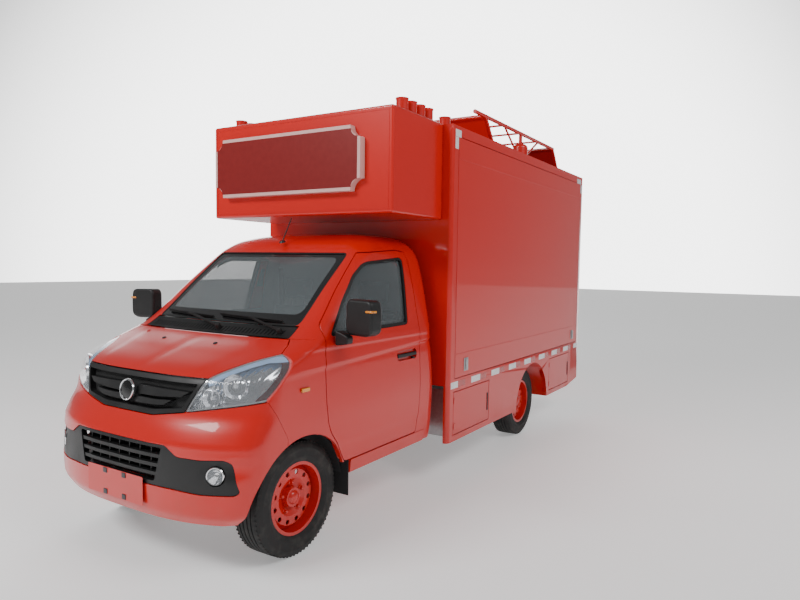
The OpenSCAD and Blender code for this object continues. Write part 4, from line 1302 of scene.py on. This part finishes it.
def blown(shape, name, cap, voxel):
    """A foam pad: the shape remeshed and blown up as cloth, no point moving further than the cap."""
    mesh = bpy.data.meshes.new(name)
    shape.to_mesh(mesh)
    shape.free()
    pad = bpy.data.objects.new(name, mesh)
    bpy.context.collection.objects.link(pad)
    grid = pad.modifiers.new("grid", "REMESH")
    grid.mode = "VOXEL"
    grid.voxel_size = voxel
    evaluated = pad.evaluated_get(bpy.context.evaluated_depsgraph_get())
    plain = bpy.data.meshes.new_from_object(evaluated)
    pad.modifiers.clear()
    pad.data = plain
    bpy.data.meshes.remove(mesh)
    before = np.array([v.co for v in plain.vertices])
    cloth = pad.modifiers.new("cloth", "CLOTH")
    cloth.settings.use_pressure = True
    cloth.settings.uniform_pressure_force = 4
    cloth.settings.effector_weights.gravity = 0
    cloth.point_cache.frame_start = 1
    cloth.point_cache.frame_end = 20
    for step in range(1, 21):
        bpy.context.scene.frame_set(step)
    settled = pad.evaluated_get(bpy.context.evaluated_depsgraph_get()).to_mesh()
    moved = np.array([v.co for v in settled.vertices]) - before
    reach = np.linalg.norm(moved, axis=1, keepdims=True)
    settled_at = before + moved * np.minimum(1, cap / np.maximum(reach, 1e-9))
    pad.modifiers.clear()
    plain.vertices.foreach_set("co", settled_at.ravel())
    bpy.context.scene.frame_set(1)
    result = bmesh.new()
    result.from_mesh(plain)
    bpy.data.objects.remove(pad)
    bpy.data.meshes.remove(plain)
    bmesh.ops.recalc_face_normals(result, faces=result.faces)
    bmesh.ops.smooth_vert(result, verts=result.verts, factor=0.5, use_axis_x=True, use_axis_y=True, use_axis_z=True)
    return result


back_line = [(1016, 706), (1090, 712), (1150, 1190), (1144, 1225), (1120, 1230), (1100, 1220), (1040, 900)]
wing_line = [(1000, 730), (1080, 730), (1130, 1130), (1070, 1150), (1020, 900)]
head_line = [(1108, 1262), (1166, 1258), (1172, 1396), (1138, 1412), (1116, 1392)]
for side, middle in (("left", 340), ("right", -340)):
    squab = soften(block((middle - 222, 684, 592), (middle + 222, 1068, 668)), 24, 3)
    thighs = joined(*(soften(block((middle + low, 700, 600), (middle + high, 1050, 690)), 22, 3)
        for low, high in ((-226, -160), (160, 226))))
    back = soften(prism(back_line, "x", middle - 214, middle + 214), 22, 3)
    wings = joined(*(soften(prism(wing_line, "x", middle + low, middle + high), 20, 3)
        for low, high in ((-222, -156), (156, 222))))
    head = soften(prism(head_line, "x", middle - 116, middle + 116), 20, 3)
    pads = (("squab", joined(squab, thighs), 0.022, 0.007), ("back", joined(back, wings), 0.022, 0.007),
        ("headrest", head, 0.012, 0.006))
    for name, shape, cap, voxel in pads:
        shape.transform(to_frame)
        pad = place_piece("seat_" + side + "_" + name, blown(shape, name, cap, voxel), seat_cloth, bench=False,
            stands_for=["seats"] if (side, name) == ("left", "squab") else [])
    posts = joined(*(tube((middle + x, 1132, 1180), (middle + x, 1142, 1290), 6) for x in (-60, 60)))
    place_piece("seat_" + side + "_base", soften(block((middle - 225, 705, 476), (middle + 225, 1110, 588)), 12, 3),
        black_trim)
    place_piece("seat_" + side + "_posts", posts, chrome)
    door_end = math.copysign(560, middle)
    belt = prism([(1192, 560), (1198, 560), (1190, 1480), (1184, 1480)], "x", door_end - 23, door_end + 23)
    place_piece("belt_" + side, belt, rubber, slot="fabric")

# The cab is lined with pale grey felt on board: a headliner, the pillars' covers and the rear wall. It is clipped
# to the inner skin.
lining = crossed(cab_skin(46, 54), block((-900, 600, 1000), (900, 1250, 1800)))
lining = combine(lining, both_sides(door_hole(4)))
lining = combine(lining, prism(screen, "y", *screen_depth, 4))


felt = material("felt", speckled(320, 3, (0.30, 0.30, 0.29), (0.42, 0.42, 0.40), 0.9, 0.05, (0.3, 0.0008)),
    "fabric")
place_piece("cab_lining", panel(lining, 0), felt)
